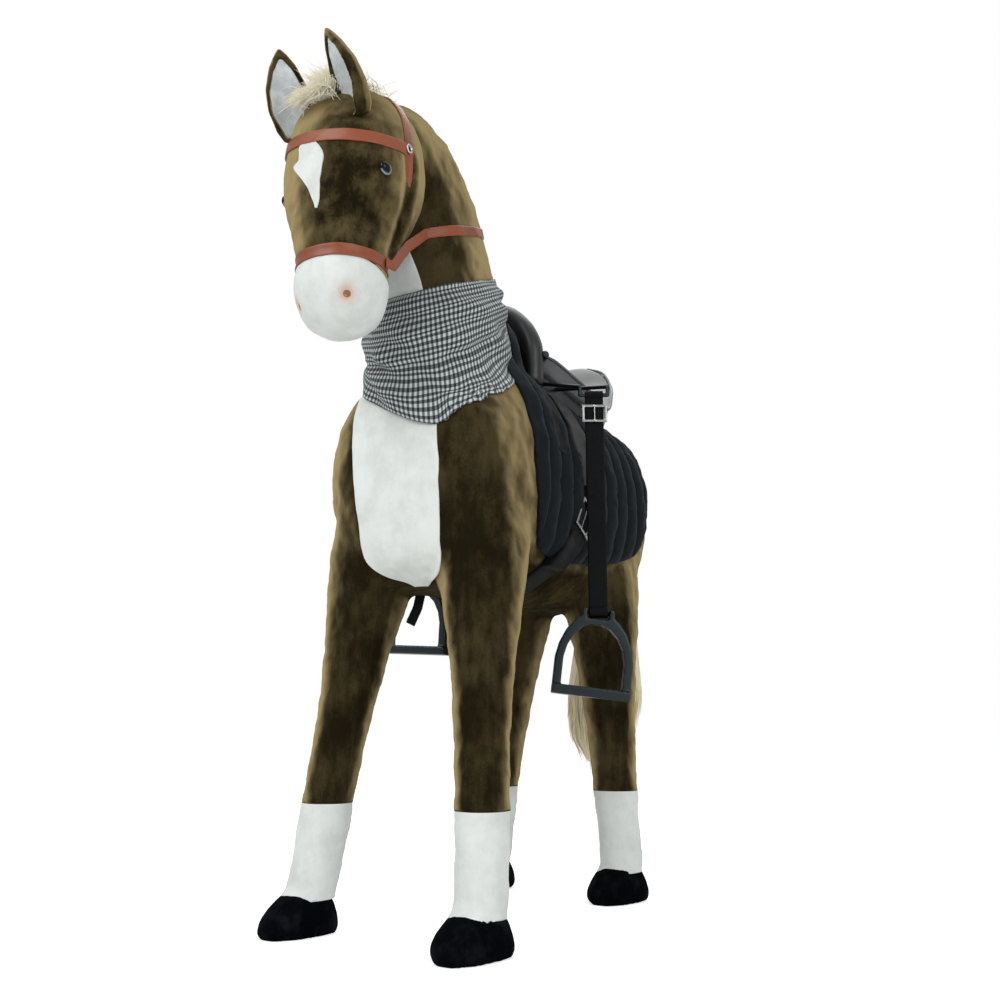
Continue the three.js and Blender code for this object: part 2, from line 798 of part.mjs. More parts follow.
const body = (grow) => form(bodySpec, grow);
const neck = (grow) => form(neckSpec, grow);
const head = (grow) => form(headSpec, grow);

// The point of the neck's spine at a height
function neckPointAt(z) {
  const steps = 60;
  let best = neckSpine.getPointAt(0);
  for (let i = 1; i <= steps; i++) {
    const point = neckSpine.getPointAt(i / steps);
    if (Math.abs(point.z - z) < Math.abs(best.z - z)) best = point;
  }
  return vec(0, best.y, z);
}

// Legs, socks and hooves stand on the four ankles

const legs = [
  ["left_front", 1, true],
  ["right_front", -1, true],
  ["left_rear", 1, false],
  ["right_rear", -1, false],
].map(([name, side, front]) => {
  const ankleX = (side * (front ? FRONT_STANCE : REAR_STANCE)) / 2;
  const ankleY = front ? 0 : HOOF_BASE;
  const ankle = vec(ankleX, ankleY, HOOF_HEIGHT);
  const sockBack = front ? FRONT_SOCK_LEAN_BACK : REAR_SOCK_LEAN_BACK;
  const sockTop = vec(ankleX - side * SOCK_LEAN_IN, ankleY + sockBack, SOCK_TOP);
  const inwards = front ? FRONT_LEG_IN : REAR_LEG_IN;
  const backwards = front ? FRONT_LEG_BACK : REAR_LEG_BACK;
  const topZ = BELLY_HEIGHT + LEG_TOP_SHARE * BODY_DEPTH;
  const top = vec(sockTop.x - side * inwards, sockTop.y + backwards, topZ);
  return { name, side, front, ankle, sockTop, top };
});

function legSpec(leg) {
  return {
    spine: new THREE.LineCurve3(leg.sockTop, leg.top),
    halfWidth: LEG_WIDTH / 2,
    halfDepth: LEG_WIDTH / 2,
    rows: leg.front ? FRONT_LEG_SHARES : REAR_LEG_SHARES,
    sides: LEG_SIDES,
  };
}

// Steel frame

const spineTubeFront = chestY + FRAME_INSET_SHARE * BODY_LENGTH;
const spineTubeRear = rumpY - FRAME_INSET_SHARE * BODY_LENGTH;
function hoopPath(left) {
  const crossZ = spineTubeZ - 2 * TUBE_RADIUS - GAP;
  const foot = vec(left.ankle.x, left.ankle.y, FOOT_PLATE_HEIGHT + FOOT_PLATE_THICKNESS / 2);
  const shoulder = vec(left.top.x, left.top.y, crossZ);
  const half = [foot, left.ankle, left.sockTop, shoulder];
  const other = half
    .slice()
    .reverse()
    .map((p) => vec(-p.x, p.y, p.z));
  return [...half, ...other];
}

function hoop(left, grow) {
  const path = hoopPath(left);
  const plates = [path[0], path[path.length - 1]].map((foot) =>
    cylinder(
      FOOT_PLATE_RADIUS + grow,
      FOOT_PLATE_THICKNESS + 2 * grow,
      foot,
      Z_AXIS,
      TUBE_SIDES,
    ),
  );
  return join(rod(path, TUBE_RADIUS + grow, TUBE_SIDES), ...plates);
}

const frontHoop = (grow) => hoop(legs[0], grow);
const rearHoop = (grow) => hoop(legs[2], grow);
const spineTube = (grow) =>
  cylinder(
    TUBE_RADIUS + grow,
    spineTubeRear - spineTubeFront + 2 * grow,
    vec(0, (spineTubeFront + spineTubeRear) / 2, spineTubeZ),
    Y_AXIS,
    TUBE_SIDES,
  );
const neckTubeFoot = vec(0, neckSpine.getPointAt(0).y, spineTubeZ);
const neckTubePath = [neckTubeFoot, ...NECK_TUBE_SHARES.map((at) => neckSpine.getPointAt(at))];
const neckTube = (grow) => rod(neckTubePath, TUBE_RADIUS + grow, TUBE_SIDES);

const frameRoom = join(
  frontHoop(FRAME_CLEAR),
  rearHoop(FRAME_CLEAR),
  spineTube(FRAME_CLEAR),
  neckTube(FRAME_CLEAR),
);
add("front_leg_hoop", frontHoop(0), FRAME_STEEL);
add("rear_leg_hoop", rearHoop(0), FRAME_STEEL);
add("spine_tube", spineTube(0), FRAME_STEEL);
add("neck_tube", mainBody(cut(neckTube(0), spineTube(GAP))), FRAME_STEEL);

// Plush

add("torso", cut(body(0), frameRoom), BROWN_PLUSH);
add("neck", mainBody(cut(neck(0), body(GAP), frameRoom)), BROWN_PLUSH);

const noseCentre = headSpine.getPointAt(NOSEBAND_SHARE);
const muzzlePlane = noseCentre.z - BRIDLE_WIDTH / 2;
const farBlock = 2 * BODY_LENGTH;
const halfSpace = (x, y, z) =>
  block(vec(x, y, z), [X_AXIS, Y_AXIS, Z_AXIS], [farBlock, farBlock, farBlock]);
const below = (z) => halfSpace(0, 0, z - farBlock / 2);
const above = (z) => halfSpace(0, 0, z + farBlock / 2);
const ahead = (y) => halfSpace(0, y - farBlock / 2, farBlock / 2);
const behind = (y) => halfSpace(0, y + farBlock / 2, farBlock / 2);

// Eyes
const eyeTurn = THREE.MathUtils.degToRad(EYE_TURN_DEG);
function eyeSeat(side) {
  const level = headSpine.getPointAt(EYE_SHARE);
  const start = vec(0, level.y - EYE_AHEAD, level.z);
  const out = vec(side * Math.cos(eyeTurn), -Math.sin(eyeTurn), 0);
  const surface = pointOn(head(0), start, out, HEAD_WIDTH);
  return { surface, out };
}

// Where a ray from inside a solid leaves it, found by halving
function pointOn(made, start, direction, reach) {
  const mesh = made.getMesh();
  let far = 0;
  const a = vec(0, 0, 0);
  const b = vec(0, 0, 0);
  const c = vec(0, 0, 0);
  const hit = vec(0, 0, 0);
  const ray = new THREE.Ray(start, direction);
  const corner = (target, index) => {
    const at = mesh.triVerts[index] * mesh.numProp;
    return target.fromArray(mesh.vertProperties, at);
  };
  for (let i = 0; i < mesh.triVerts.length; i += 3) {
    corner(a, i);
    corner(b, i + 1);
    corner(c, i + 2);
    if (ray.intersectTriangle(a, b, c, false, hit)) {
      const distance = hit.distanceTo(start);
      if (distance < reach && distance > far) far = distance;
    }
  }
  return start.clone().addScaledVector(direction, far);
}

function eye(side, grow) {
  const { surface, out } = eyeSeat(side);
  const outline = [new THREE.Vector2(0, -EYE_SHANK - grow)];
  outline.push(new THREE.Vector2(EYE_SHANK_RADIUS + grow, -EYE_SHANK - grow));
  outline.push(new THREE.Vector2(EYE_SHANK_RADIUS + grow, -EYE_DOME / 2 - grow));
  outline.push(new THREE.Vector2(EYE_RADIUS + grow, -EYE_DOME / 2 - grow));
  outline.push(new THREE.Vector2(EYE_RADIUS + grow, 0));
  const steps = 3;
  for (let i = 1; i <= steps; i++) {
    const angle = (Math.PI / 2) * (i / steps);
    const radius = i === steps ? 0 : (EYE_RADIUS + grow) * Math.cos(angle);
    outline.push(new THREE.Vector2(radius, (EYE_DOME + grow) * Math.sin(angle)));
  }
  const geometry = new THREE.LatheGeometry(outline, EYE_SIDES);
  geometry.applyQuaternion(new THREE.Quaternion().setFromUnitVectors(Y_AXIS, out));
  geometry.translate(surface.x, surface.y, surface.z);
  return solid(geometry);
}

const eyeRoom = join(eye(1, GAP), eye(-1, GAP));
add("left_eye", eye(1, 0), EYE_PLASTIC);
add("right_eye", eye(-1, 0), EYE_PLASTIC);

const headWhole = cut(head(0), neck(GAP), frameRoom, eyeRoom);
add("head", mainBody(cut(headWhole, below(muzzlePlane))), BROWN_PLUSH);
add("muzzle", mainBody(head(0).intersect(below(muzzlePlane - GAP))), WHITE_PLUSH);

const pawCutters = [];
legs.forEach((leg) => {
  const shape = cut(form(legSpec(leg)), body(GAP), frameRoom);
  add(leg.name + "_leg", mainBody(shape), BROWN_PLUSH);
  pawCutters.push(form(legSpec(leg), GAP));
  const sock = form({
    spine: new THREE.LineCurve3(leg.ankle, leg.sockTop.clone().add(vec(0, 0, -GAP))),
    halfWidth: LEG_WIDTH / 2,
    halfDepth: LEG_WIDTH / 2,
    rows: SOCK_SHARES,
    sides: LEG_SIDES,
  });
  add(leg.name + "_sock", mainBody(cut(sock, frameRoom, form(legSpec(leg), GAP))), WHITE_PLUSH);
  const hoof = form({
    spine: new THREE.LineCurve3(
      vec(leg.ankle.x, leg.ankle.y, 0),
      vec(leg.ankle.x, leg.ankle.y, HOOF_HEIGHT),
    ),
    halfWidth: HOOF_WIDTH / 2,
    halfDepth: 1,
    rows: HOOF_SHARES.map(([at, half, front, back]) => [
      at,
      half,
      front * HOOF_TOE,
      back * HOOF_HEEL,
    ]),
    sides: HOOF_SIDES,
  });
  const sockRoom = form(
    {
      spine: new THREE.LineCurve3(leg.ankle, leg.sockTop),
      halfWidth: LEG_WIDTH / 2,
      halfDepth: LEG_WIDTH / 2,
      rows: SOCK_SHARES,
      sides: LEG_SIDES,
    },
    GAP,
  );
  add(leg.name + "_hoof", mainBody(cut(hoof, frameRoom, sockRoom)), BLACK_PLUSH);
});
const legRoom = join(...pawCutters);

// White panels

function skinOf(shape, thickness, inner = GAP) {
  return shape(inner + thickness).subtract(shape(inner));
}

const chestOutline = CHEST_PANEL_SHARES.map(([across, up]) => [
  across * CHEST_PANEL_HALF,
  BELLY_HEIGHT + up * (chestPanelTop - BELLY_HEIGHT),
]);
const chestPanel = cut(
  skinOf(body, PANEL_THICKNESS).intersect(
    prism(chestOutline, "y", chestY - OVERRUN, chestY + 2 * OVERRUN),
  ),
  neck(GAP),
  legRoom,
);
add("chest_panel", mainBody(chestPanel), WHITE_PLUSH);

const throatOutline = THROAT_PANEL_SHARES.map(([across, up]) => [
  across * THROAT_PANEL_HALF,
  chestPanelTop + up * (throatPanelTop - chestPanelTop),
]);
const throatPanel = cut(
  skinOf(neck, PANEL_THICKNESS).intersect(
    prism(throatOutline, "y", chestY - 3 * OVERRUN, chestY + 2 * OVERRUN),
  ),
  body(GAP + PANEL_THICKNESS + GAP),
  head(GAP),
);
add("throat_panel", mainBody(throatPanel), WHITE_PLUSH);

const browCentre = headSpine.getPointAt(BROWBAND_SHARE);
const blazeTop = browCentre.z - BRIDLE_WIDTH / 2 - BLAZE_TOP_BELOW_BROWBAND;
const blazeOutline = BLAZE_SHARES.map(([across, down]) => [
  across * BLAZE_WIDTH,
  blazeTop + down * BLAZE_HEIGHT,
]);

// Bridle

const crown = (grow) => join(head(grow), neck(grow));
const bridleSkin = skinOf(crown, STRAP_THICKNESS);
const cheekY = noseCentre.y + CHEEK_PLANE_BACK;
const noseband = skinOf(head, STRAP_THICKNESS).intersect(slab(noseCentre, 0, BRIDLE_WIDTH));
add("noseband", mainBody(noseband), BROWN_LEATHER);

const cheekSlab = (width) =>
  block(
    vec(0, cheekY, noseCentre.z + farBlock / 2),
    [X_AXIS, Y_AXIS, Z_AXIS],
    [farBlock, width, farBlock - BRIDLE_WIDTH - 2 * GAP],
  );
const headpiece = bridleSkin.intersect(cheekSlab(BRIDLE_WIDTH));
add("headpiece", mainBody(headpiece), BROWN_LEATHER);

const headpieceRoom = crown(2 * GAP + STRAP_THICKNESS).intersect(
  cheekSlab(BRIDLE_WIDTH + 2 * GAP),
);
const browSlab = (width) => slab(browCentre, -BROWBAND_TILT_DEG, width);
const browband = bridleSkin
  .intersect(browSlab(BRIDLE_WIDTH))
  .intersect(ahead(cheekY - BRIDLE_WIDTH / 2 - GAP));
add("browband", mainBody(browband), BROWN_LEATHER);
const blaze = cut(
  skinOf(head, PANEL_THICKNESS).intersect(
    prism(blazeOutline, "y", browCentre.y - 4 * OVERRUN, browCentre.y),
  ),
  browSlab(BRIDLE_WIDTH + 2 * GAP),
);
add("blaze", mainBody(blaze), WHITE_PLUSH);

[1, -1].forEach((side) => {
  const start = vec(0, cheekY, browCentre.z);
  const out = vec(side, 0, 0);
  const seat = pointOn(crown(GAP + STRAP_THICKNESS), start, out, HEAD_WIDTH);
  const disc = cylinder(SNAP_RADIUS, 2 * SNAP_HEIGHT, seat, X_AXIS, SNAP_SIDES);
  const snap = mainBody(cut(disc, crown(2 * GAP + STRAP_THICKNESS)));
  add((side > 0 ? "left" : "right") + "_bridle_snap", snap, BRIGHT_STEEL);
});

// Reins: round the back of the neck, then forward to the noseband on each side
const neckTop = Math.max(...neckSpine.points.map((p) => p.z));
const reinAt = neckPointAt(neckTop - REIN_DROP);
const reinTilt = THREE.MathUtils.degToRad(REIN_TILT_DEG);
const reinUpright = vec(0, -Math.sin(reinTilt), Math.cos(reinTilt));
const reinSlab = (width) => slab(reinAt, -REIN_TILT_DEG, width);
const reinFrontY = chestY + REIN_FRONT_Y;
const reinLoop = skinOf(neck, STRAP_THICKNESS)
  .intersect(reinSlab(REIN_WIDTH))
  .intersect(behind(reinFrontY));
const reinEnds = [1, -1].map((side) => {
  const planeZ = reinAt.z + (reinFrontY - reinAt.y) * Math.tan(reinTilt);
  const start = vec(0, reinFrontY, planeZ);
  const onNeck = pointOn(neck(GAP + STRAP_THICKNESS / 2), start, vec(side, 0, 0), NECK_WIDTH);
  const ring = pointOn(
    head(2 * GAP + 1.5 * STRAP_THICKNESS),
    vec(0, cheekY, noseCentre.z),
    vec(side, 0, 0),
    HEAD_WIDTH,
  );
  const behindNeck = onNeck.clone().add(vec(0, REIN_WIDTH / 2, (REIN_WIDTH / 2) * Math.tan(reinTilt)));
  const free = strap(
    [
      [behindNeck, reinUpright],
      [onNeck, reinUpright],
      [onNeck.clone().lerp(ring, 0.5), reinUpright],
      [ring.clone().add(vec(0, REIN_WIDTH, 0)), Z_AXIS],
      [ring, Z_AXIS],
    ],
    REIN_WIDTH,
    STRAP_THICKNESS,
  );
  return cut(free, neck(GAP), head(2 * GAP + STRAP_THICKNESS));
});
const reins = mainBody(join(mainBody(reinLoop), ...reinEnds));
add("reins", reins, BROWN_LEATHER);

// Neckerchief
function scarfForm(grow) {
  const rings = SCARF_RING_SHARES.map((row, index) => {
    const [up, half, deep, shift, leanY, leanX, fold, turn, square] = row;
    const last = index === SCARF_RING_SHARES.length - 1;
    const ends = index === 0 ? -grow : last ? grow : 0;
    const z = BACK_HEIGHT - SCARF_BELOW_BACK + up * SCARF_HEIGHT + ends;
    return Array.from({ length: SCARF_SIDES }, (_, k) => {
      const angle = (2 * Math.PI * (k + 0.5)) / SCARF_SIDES;
      const ripple = fold * SCARF_FOLD * Math.sin(SCARF_WAVES * (angle + 2 * Math.PI * turn));
      const power = Math.cos(angle) > 0 ? 2 * square : 2;
      const x = ((half * SCARF_WIDTH) / 2 + ripple + grow) * bent(Math.cos(angle), power);
      const y = ((deep * SCARF_DEPTH) / 2 + ripple + grow) * bent(Math.sin(angle), power);
      return vec(shift * SCARF_WIDTH + x, SCARF_Y + y, z + leanY * y + leanX * x);
    });
  });
  return skinOver(rings);
}

const clothUnder = join(neck(GAP + PANEL_THICKNESS + GAP), body(GAP + PANEL_THICKNESS + GAP));
add("neckerchief", mainBody(cut(scarfForm(0), clothUnder)), GINGHAM);
const scarfRoom = scarfForm(GAP);

// Hair
const maneBand = [1, 0].flatMap((outer) => {
  const rows = outer ? MANE_ROW_SHARES : MANE_ROW_SHARES.slice().reverse();
  return rows.map((at) => {
    const centre = neckSpine.getPointAt(at);
    const tangent = neckSpine.getTangentAt(at);
    const back = vec(0, tangent.z, -tangent.y);
    const row = NECK_SHARES.find(([place]) => place >= at) || NECK_SHARES[NECK_SHARES.length - 1];
    const crestReach = (row[3] * NECK_DEPTH) / 2;
    const reach = outer ? crestReach + OVERRUN : crestReach - MANE_DROP / 2;
    const point = centre.clone().addScaledVector(back, reach);
    return [point.y, point.z];
  });
});
const reinRoom = neck(OVERRUN).intersect(reinSlab(REIN_WIDTH + 2 * GAP));
const mane = cut(
  skinOf(neck, MANE_THICKNESS).intersect(prism(maneBand, "x", -NECK_WIDTH, GAP)),
  reinRoom,
  head(GAP + STRAP_THICKNESS + GAP),
  scarfRoom,
);
add("mane", mainBody(mane), CREAM_HAIR);

// Ears
function earMatrix(side) {
  const base = headSpine.getPointAt(EAR_SEAT_SHARE);
  const turn = THREE.MathUtils.degToRad(side * EAR_TURN_DEG);
  const forward = THREE.MathUtils.degToRad(EAR_FORWARD_DEG);
  const outward = THREE.MathUtils.degToRad(side * EAR_OUT_DEG);
  return new THREE.Matrix4()
    .makeTranslation(side * EAR_SPREAD, base.y - EAR_AHEAD, base.z)
    .multiply(new THREE.Matrix4().makeRotationX(forward))
    .multiply(new THREE.Matrix4().makeRotationY(outward))
    .multiply(new THREE.Matrix4().makeRotationZ(turn));
}

function placed(made, matrix) {
  return solid(geometryOf(made).applyMatrix4(matrix));
}

function earForm(rows, grow, forwards, lower) {
  const foot = vec(0, -forwards, 0);
  const tip = vec(0, -forwards, EAR_LENGTH * (1 - lower));
  return form(
    {
      spine: new THREE.LineCurve3(foot, tip),
      halfWidth: EAR_WIDTH / 2,
      halfDepth: EAR_CUP / 2,
      rows,
      sides: EAR_SIDES,
    },
    grow,
  );
}

const wholeEar = (grow) => earForm(EAR_SHARES, grow, 0, 0);
const earHollow = (grow, forwards) =>
  earForm(EAR_HOLLOW_SHARES, grow - EAR_RIM, forwards, EAR_TIP_SHARE);

const browbandRoom = browSlab(BRIDLE_WIDTH + 2 * GAP).intersect(head(2 * GAP + STRAP_THICKNESS));
const underEars = join(crown(GAP), browbandRoom);
[1, -1].forEach((side) => {
  const name = side > 0 ? "left" : "right";
  const place = earMatrix(side);
  const shell = mainBody(cut(wholeEar(0), earHollow(0, 0)));
  const ear = cut(placed(shell, place), underEars, headpieceRoom);
  add(name + "_ear", mainBody(ear), BROWN_PLUSH);
  const layer = cut(earHollow(-GAP, 0), earHollow(-GAP, EAR_LINING));
  const within = layer.intersect(wholeEar(-GAP));
  const lining = cut(placed(mainBody(within), place), underEars, headpieceRoom);
  add(name + "_ear_lining", mainBody(lining), EAR_CLOTH);
});
const earRoom = join(
  placed(wholeEar(GAP), earMatrix(1)),
  placed(wholeEar(GAP), earMatrix(-1)),
);

const skullTop = headSpine.getPointAt(1);
const forelockSpine = curve(
  FORELOCK_SPINE_SHARES.map(([forward, up]) =>
    vec(0, skullTop.y - forward * FORELOCK_LENGTH, skullTop.z + up * FORELOCK_LENGTH),
  ),
);
const forelock = cut(
  form({
    spine: forelockSpine,
    halfWidth: FORELOCK_WIDTH / 2,
    halfDepth: FORELOCK_WIDTH / 2,
    rows: FORELOCK_SHARES,
    sides: EAR_SIDES,
  }),
  crown(GAP + STRAP_THICKNESS + GAP),
  earRoom,
);
add("forelock", mainBody(forelock), CREAM_HAIR);

// Tail
const dock = vec(0, rumpY - TAIL_SEAT_SHARE * BODY_LENGTH, BACK_HEIGHT - DOCK_BELOW_BACK);
const tail = cut(
  form({
    spine: curve(
      TAIL_SPINE_SHARES.map(([back, up]) =>
        vec(0, dock.y + back * TAIL_LENGTH, dock.z + up * TAIL_LENGTH),
      ),
    ),
    halfWidth: TAIL_WIDTH / 2,
    halfDepth: TAIL_DEPTH / 2,
    rows: TAIL_SHARES,
    sides: EAR_SIDES,
  }),
  body(2 * GAP),
);
add("tail", mainBody(tail), CREAM_HAIR);

// Saddle pad
function bodyRow(share) {
  const next = Math.max(
    BODY_SHARES.findIndex(([at]) => at >= share),
    1,
  );
  const upper = BODY_SHARES[next];
  const lower = BODY_SHARES[next - 1];
  const t = (share - lower[0]) / (upper[0] - lower[0]);
  return upper.map((value, i) => lower[i] + (value - lower[i]) * t);
}

function quilt() {
  const count = 2 * PAD_CHANNELS;
  const first = PAD_FRONT - PAD_MARGIN;
  const rings = Array.from({ length: count + 1 }, (_, i) => {
    const y = first + ((PAD_LENGTH + 2 * PAD_MARGIN) * i) / count;
    const [, half, up, down] = bodyRow((y - chestY) / BODY_LENGTH);
    const grow = GAP + (i % 2 ? PAD_THICKNESS : PAD_SEAM);
    return Array.from({ length: BODY_SIDES }, (_, k) => {
      const angle = (2 * Math.PI * (k + 0.5)) / BODY_SIDES;
      const turn = bent(Math.sin(angle), BODY_POWER);
      const reach = ((turn > 0 ? up : down) * BODY_DEPTH) / 2 + grow;
      const wide = bent(Math.cos(angle), BODY_POWER) * ((half * BODY_WIDTH) / 2 + grow);
      return vec(wide, y, BODY_MIDDLE + turn * reach);
    });
  });
  return skinOver(rings);
}

function padOutline() {
  const height = BACK_HEIGHT + PAD_TOP_CLEAR - padBottom;
  const points = PAD_EDGE_SHARES.map(([along, up]) => [
    PAD_FRONT + along * PAD_LENGTH,
    padBottom + up * height,
  ]);
  return prism(points, "x", -BODY_WIDTH, BODY_WIDTH);
}

const padSolid = cut(
  join(quilt(), neck(GAP + PAD_SEAM)).intersect(padOutline()),
  body(GAP),
  neck(GAP),
  legRoom,
  scarfRoom,
);
add("saddle_pad", mainBody(padSolid), QUILTED_CLOTH);
const padFace = GAP + PAD_THICKNESS + SLACK;
const padOuter = join(body(padFace), neck(GAP + PAD_SEAM + GAP));

// Saddle
function saddleStations(halfShare, topOf, underOf) {
  const rings = SEAT_SHARES.map(([along, half, edge, middle, under]) => {
    const y = SEAT_FRONT + along * SEAT_LENGTH;
    const wide = (halfShare * half * SEAT_WIDTH) / 2;
    const top = SEAT_TOP_SHARES.map((across) => {
      const rise = topOf(edge, middle, under, across);
      return vec(across * wide, y, seatBase + rise * SEAT_RISE);
    });
    const low = SEAT_TOP_SHARES.map((across) =>
      vec(-across * wide * SEAT_TUCK_SHARE, y, seatBase + underOf(under) * SEAT_RISE),
    );
    return [...top, ...low];
  });
  return skinOver(rings);
}

const seatSolid = saddleStations(
  1,
  (edge, middle, under, across) => middle + (edge - middle) * across * across,
  (under) => under,
);
const panelDrop = PANEL_DEPTH / SEAT_RISE;
const panelSolid = saddleStations(
  PANEL_INSET_SHARE,
  (edge, middle, under) => under - GAP / SEAT_RISE,
  (under) => under - panelDrop,
);

const archOther = POMMEL_SHARES
  .slice()
  .reverse()
  .map(([across, up]) => [-across, up]);
const arch = [...POMMEL_SHARES, ...archOther].map(([across, up]) =>
  vec(across * POMMEL_HALF, POMMEL_Y, pommelFoot + up * POMMEL_RISE),
);
const pommel = (grow) => {
  const web = prism(
    arch.map((p) => [p.x, p.z]),
    "y",
    POMMEL_Y - POMMEL_WEB / 2 - grow,
    POMMEL_Y + POMMEL_WEB / 2 + grow,
  );
  return join(rod(arch, POMMEL_RADIUS + grow, TUBE_SIDES), web);
};
const seat = mainBody(cut(seatSolid, padOuter, pommel(GAP)));
add("saddle_seat", seat, BLACK_LEATHER);
add("pommel_roll", mainBody(cut(pommel(0), padOuter, scarfRoom)), BLACK_LEATHER);

// Steel hangers: each a bent rod whose cross part is the stirrup bar
const stirrups = [
  ["left", 1, LEFT_STIRRUP_TURN_DEG, LEFT_STIRRUP_Y, leftLeather, LEFT_IRON_TILT_DEG],
  ["right", -1, RIGHT_STIRRUP_TURN_DEG, RIGHT_STIRRUP_Y, rightLeather, RIGHT_IRON_TILT_DEG],
].map(([name, side, turnDeg, y, length, tiltDeg]) => {
  const turn = THREE.MathUtils.degToRad(turnDeg);
  const across = vec(Math.cos(turn), Math.sin(turn), 0);
  const ahead = vec(Math.sin(turn), -Math.cos(turn), 0);
  const bar = vec(side * stirrupX, y, stirrupBarZ);
  const tilt = THREE.MathUtils.degToRad(tiltDeg);
  return { name, side, across, ahead, bar, length, tilt };
});

function local({ across, ahead, bar }, u, n, z) {
  return bar.clone().addScaledVector(across, u).addScaledVector(ahead, n).add(vec(0, 0, z));
}

function hanger(stirrup, grow) {
  const { side, bar } = stirrup;
  const reach = LEATHER_WIDTH / 2 + 2 * BAR_RADIUS;
  const ends = [local(stirrup, -reach, 0, 0), local(stirrup, reach, 0, 0)];
  ends.sort((a, b) => a.y - b.y);
  const feet = ends.map((end, i) =>
    vec(
      side * HANGER_FOOT_X,
      bar.y + HANGER_BACK + (i ? 1 : -1) * (LEATHER_WIDTH / 2 + BAR_RADIUS),
      bar.z + HANGER_RISE,
    ),
  );
  const elbows = ends.map((end) => end.clone().add(vec(0, 0, HANGER_LIFT)));
  const path = [feet[0], elbows[0], ends[0], ends[1], elbows[1], feet[1]];
  const runs = path.slice(1).map((to, i) => rod([path[i], to], BAR_RADIUS + grow, ROD_SIDES));
  const joints = path.slice(1, -1).map((at) => ball(at, BAR_RADIUS + grow));
  return join(...runs, ...joints);
}

function ball(centre, radius) {
  const geometry = new THREE.SphereGeometry(radius, ROD_SIDES, ROD_SIDES / 2);
  geometry.translate(centre.x, centre.y, centre.z);
  return solid(geometry);
}

const hangerRoom = join(...stirrups.map((stirrup) => hanger(stirrup, GAP)));
add(
  "saddle_panel",
  mainBody(cut(panelSolid, padOuter, pommel(GAP), hangerRoom)),
  BLACK_LEATHER,
);
stirrups.forEach((stirrup) => {
  const piece = mainBody(cut(hanger(stirrup, 0), padOuter, seatSolid));
  add(stirrup.name + "_stirrup_hanger", piece, BLACK_IRON);
});

// Flaps and billets lie on the pad
const padSide = (thick) => body(padFace + thick).subtract(body(padFace));
const flapTop = seatBase + SEAT_RISE / 2;
const flapDrop = flapTop - flapBottom;
const flapOutline = FLAP_EDGE_SHARES.map(([along, up]) => [
  FLAP_FRONT + along * FLAP_TOP_WIDTH,
  flapBottom + up * flapDrop,
]);
const billetOutline = BILLET_EDGE_SHARES.map(([along, up]) => [
  BILLET_Y + along * BILLET_WIDTH,
  billetBottom + up * (flapTop - billetBottom),
]);
const panelRoom = saddleStations(
  PANEL_INSET_SHARE + GAP / SEAT_WIDTH,
  (edge, middle, under) => under,
  (under) => under - panelDrop,
);
const saddleRoom = join(seatSolid, panelRoom, pommel(GAP), hangerRoom);
function sidePrism(outline, side) {
  const near = side > 0 ? POMMEL_HALF / 2 : -BODY_WIDTH;
  return prism(outline, "x", near, near + BODY_WIDTH - POMMEL_HALF / 2);
}

[1, -1].forEach((side) => {
  const name = side > 0 ? "left" : "right";
  const flap = cut(
    padSide(FLAP_THICKNESS).intersect(sidePrism(flapOutline, side)),
    saddleRoom,
    padOuter,
  );
  add(name + "_flap", mainBody(flap), BLACK_LEATHER);
  const billet = cut(
    padSide(STRAP_THICKNESS).intersect(sidePrism(billetOutline, side)),
    saddleRoom,
    padOuter,
  );
  add(name + "_billet", mainBody(billet), BLACK_WEBBING);
});

// Girth: under the belly, then over the pad's edge and up the flank
const girthCentre = vec(0, GIRTH_Y, girthCrossing);
const girthSlab = slab(girthCentre, -(90 - GIRTH_TILT_DEG), GIRTH_WIDTH);
const girthFace = padFace + GIRTH_THICKNESS;
const lowRun = skinOf(body, GIRTH_THICKNESS);
const highRun = body(girthFace)
  .subtract(body(padFace))
  .intersect(above(padBottom - GIRTH_LEDGE));
const ledge = body(girthFace)
  .subtract(body(GAP))
  .intersect(above(padBottom - GIRTH_LEDGE))
  .intersect(below(padBottom - GIRTH_LEDGE / 4));
const padBlock = cut(body(padFace), body(GAP)).intersect(above(padBottom - GIRTH_LEDGE / 4 - GAP));
const girth = cut(
  join(cut(lowRun, padBlock), highRun, ledge)
    .intersect(girthSlab)
    .intersect(below(girthTop)),
  legRoom,
);
add("girth", mainBody(girth), BLACK_WEBBING);

// A flat buckle: a rectangular frame with its tongue, in its own plane
function buckle(width, height, tongues) {
  const half = width / 2;
  const tall = height / 2;
  const wire = 2 * WIRE_RADIUS;
  const shape = new THREE.Shape([
    new THREE.Vector2(-half, -tall),
    new THREE.Vector2(half, -tall),
    new THREE.Vector2(half, tall),
    new THREE.Vector2(-half, tall),
  ]);
  const hole = new THREE.Path([
    new THREE.Vector2(-half + wire, -tall + wire),
    new THREE.Vector2(-half + wire, tall - wire),
    new THREE.Vector2(half - wire, tall - wire),
    new THREE.Vector2(half - wire, -tall + wire),
  ]);
  shape.holes.push(hole);
  const frame = solid(new THREE.ExtrudeGeometry(shape, { depth: wire, bevelEnabled: false }));
  const prongs = tongues.map((share) => {
    const geometry = new THREE.BoxGeometry(wire / 2, height, wire / 2);
    geometry.translate(share * half, 0, wire);
    return solid(geometry);
  });
  return join(frame, ...prongs);
}

function seated(made, centre, across, up) {
  const outwards = new THREE.Vector3().crossVectors(across, up);
  const matrix = new THREE.Matrix4().makeBasis(across, up, outwards).setPosition(centre);
  return placed(made, matrix);
}

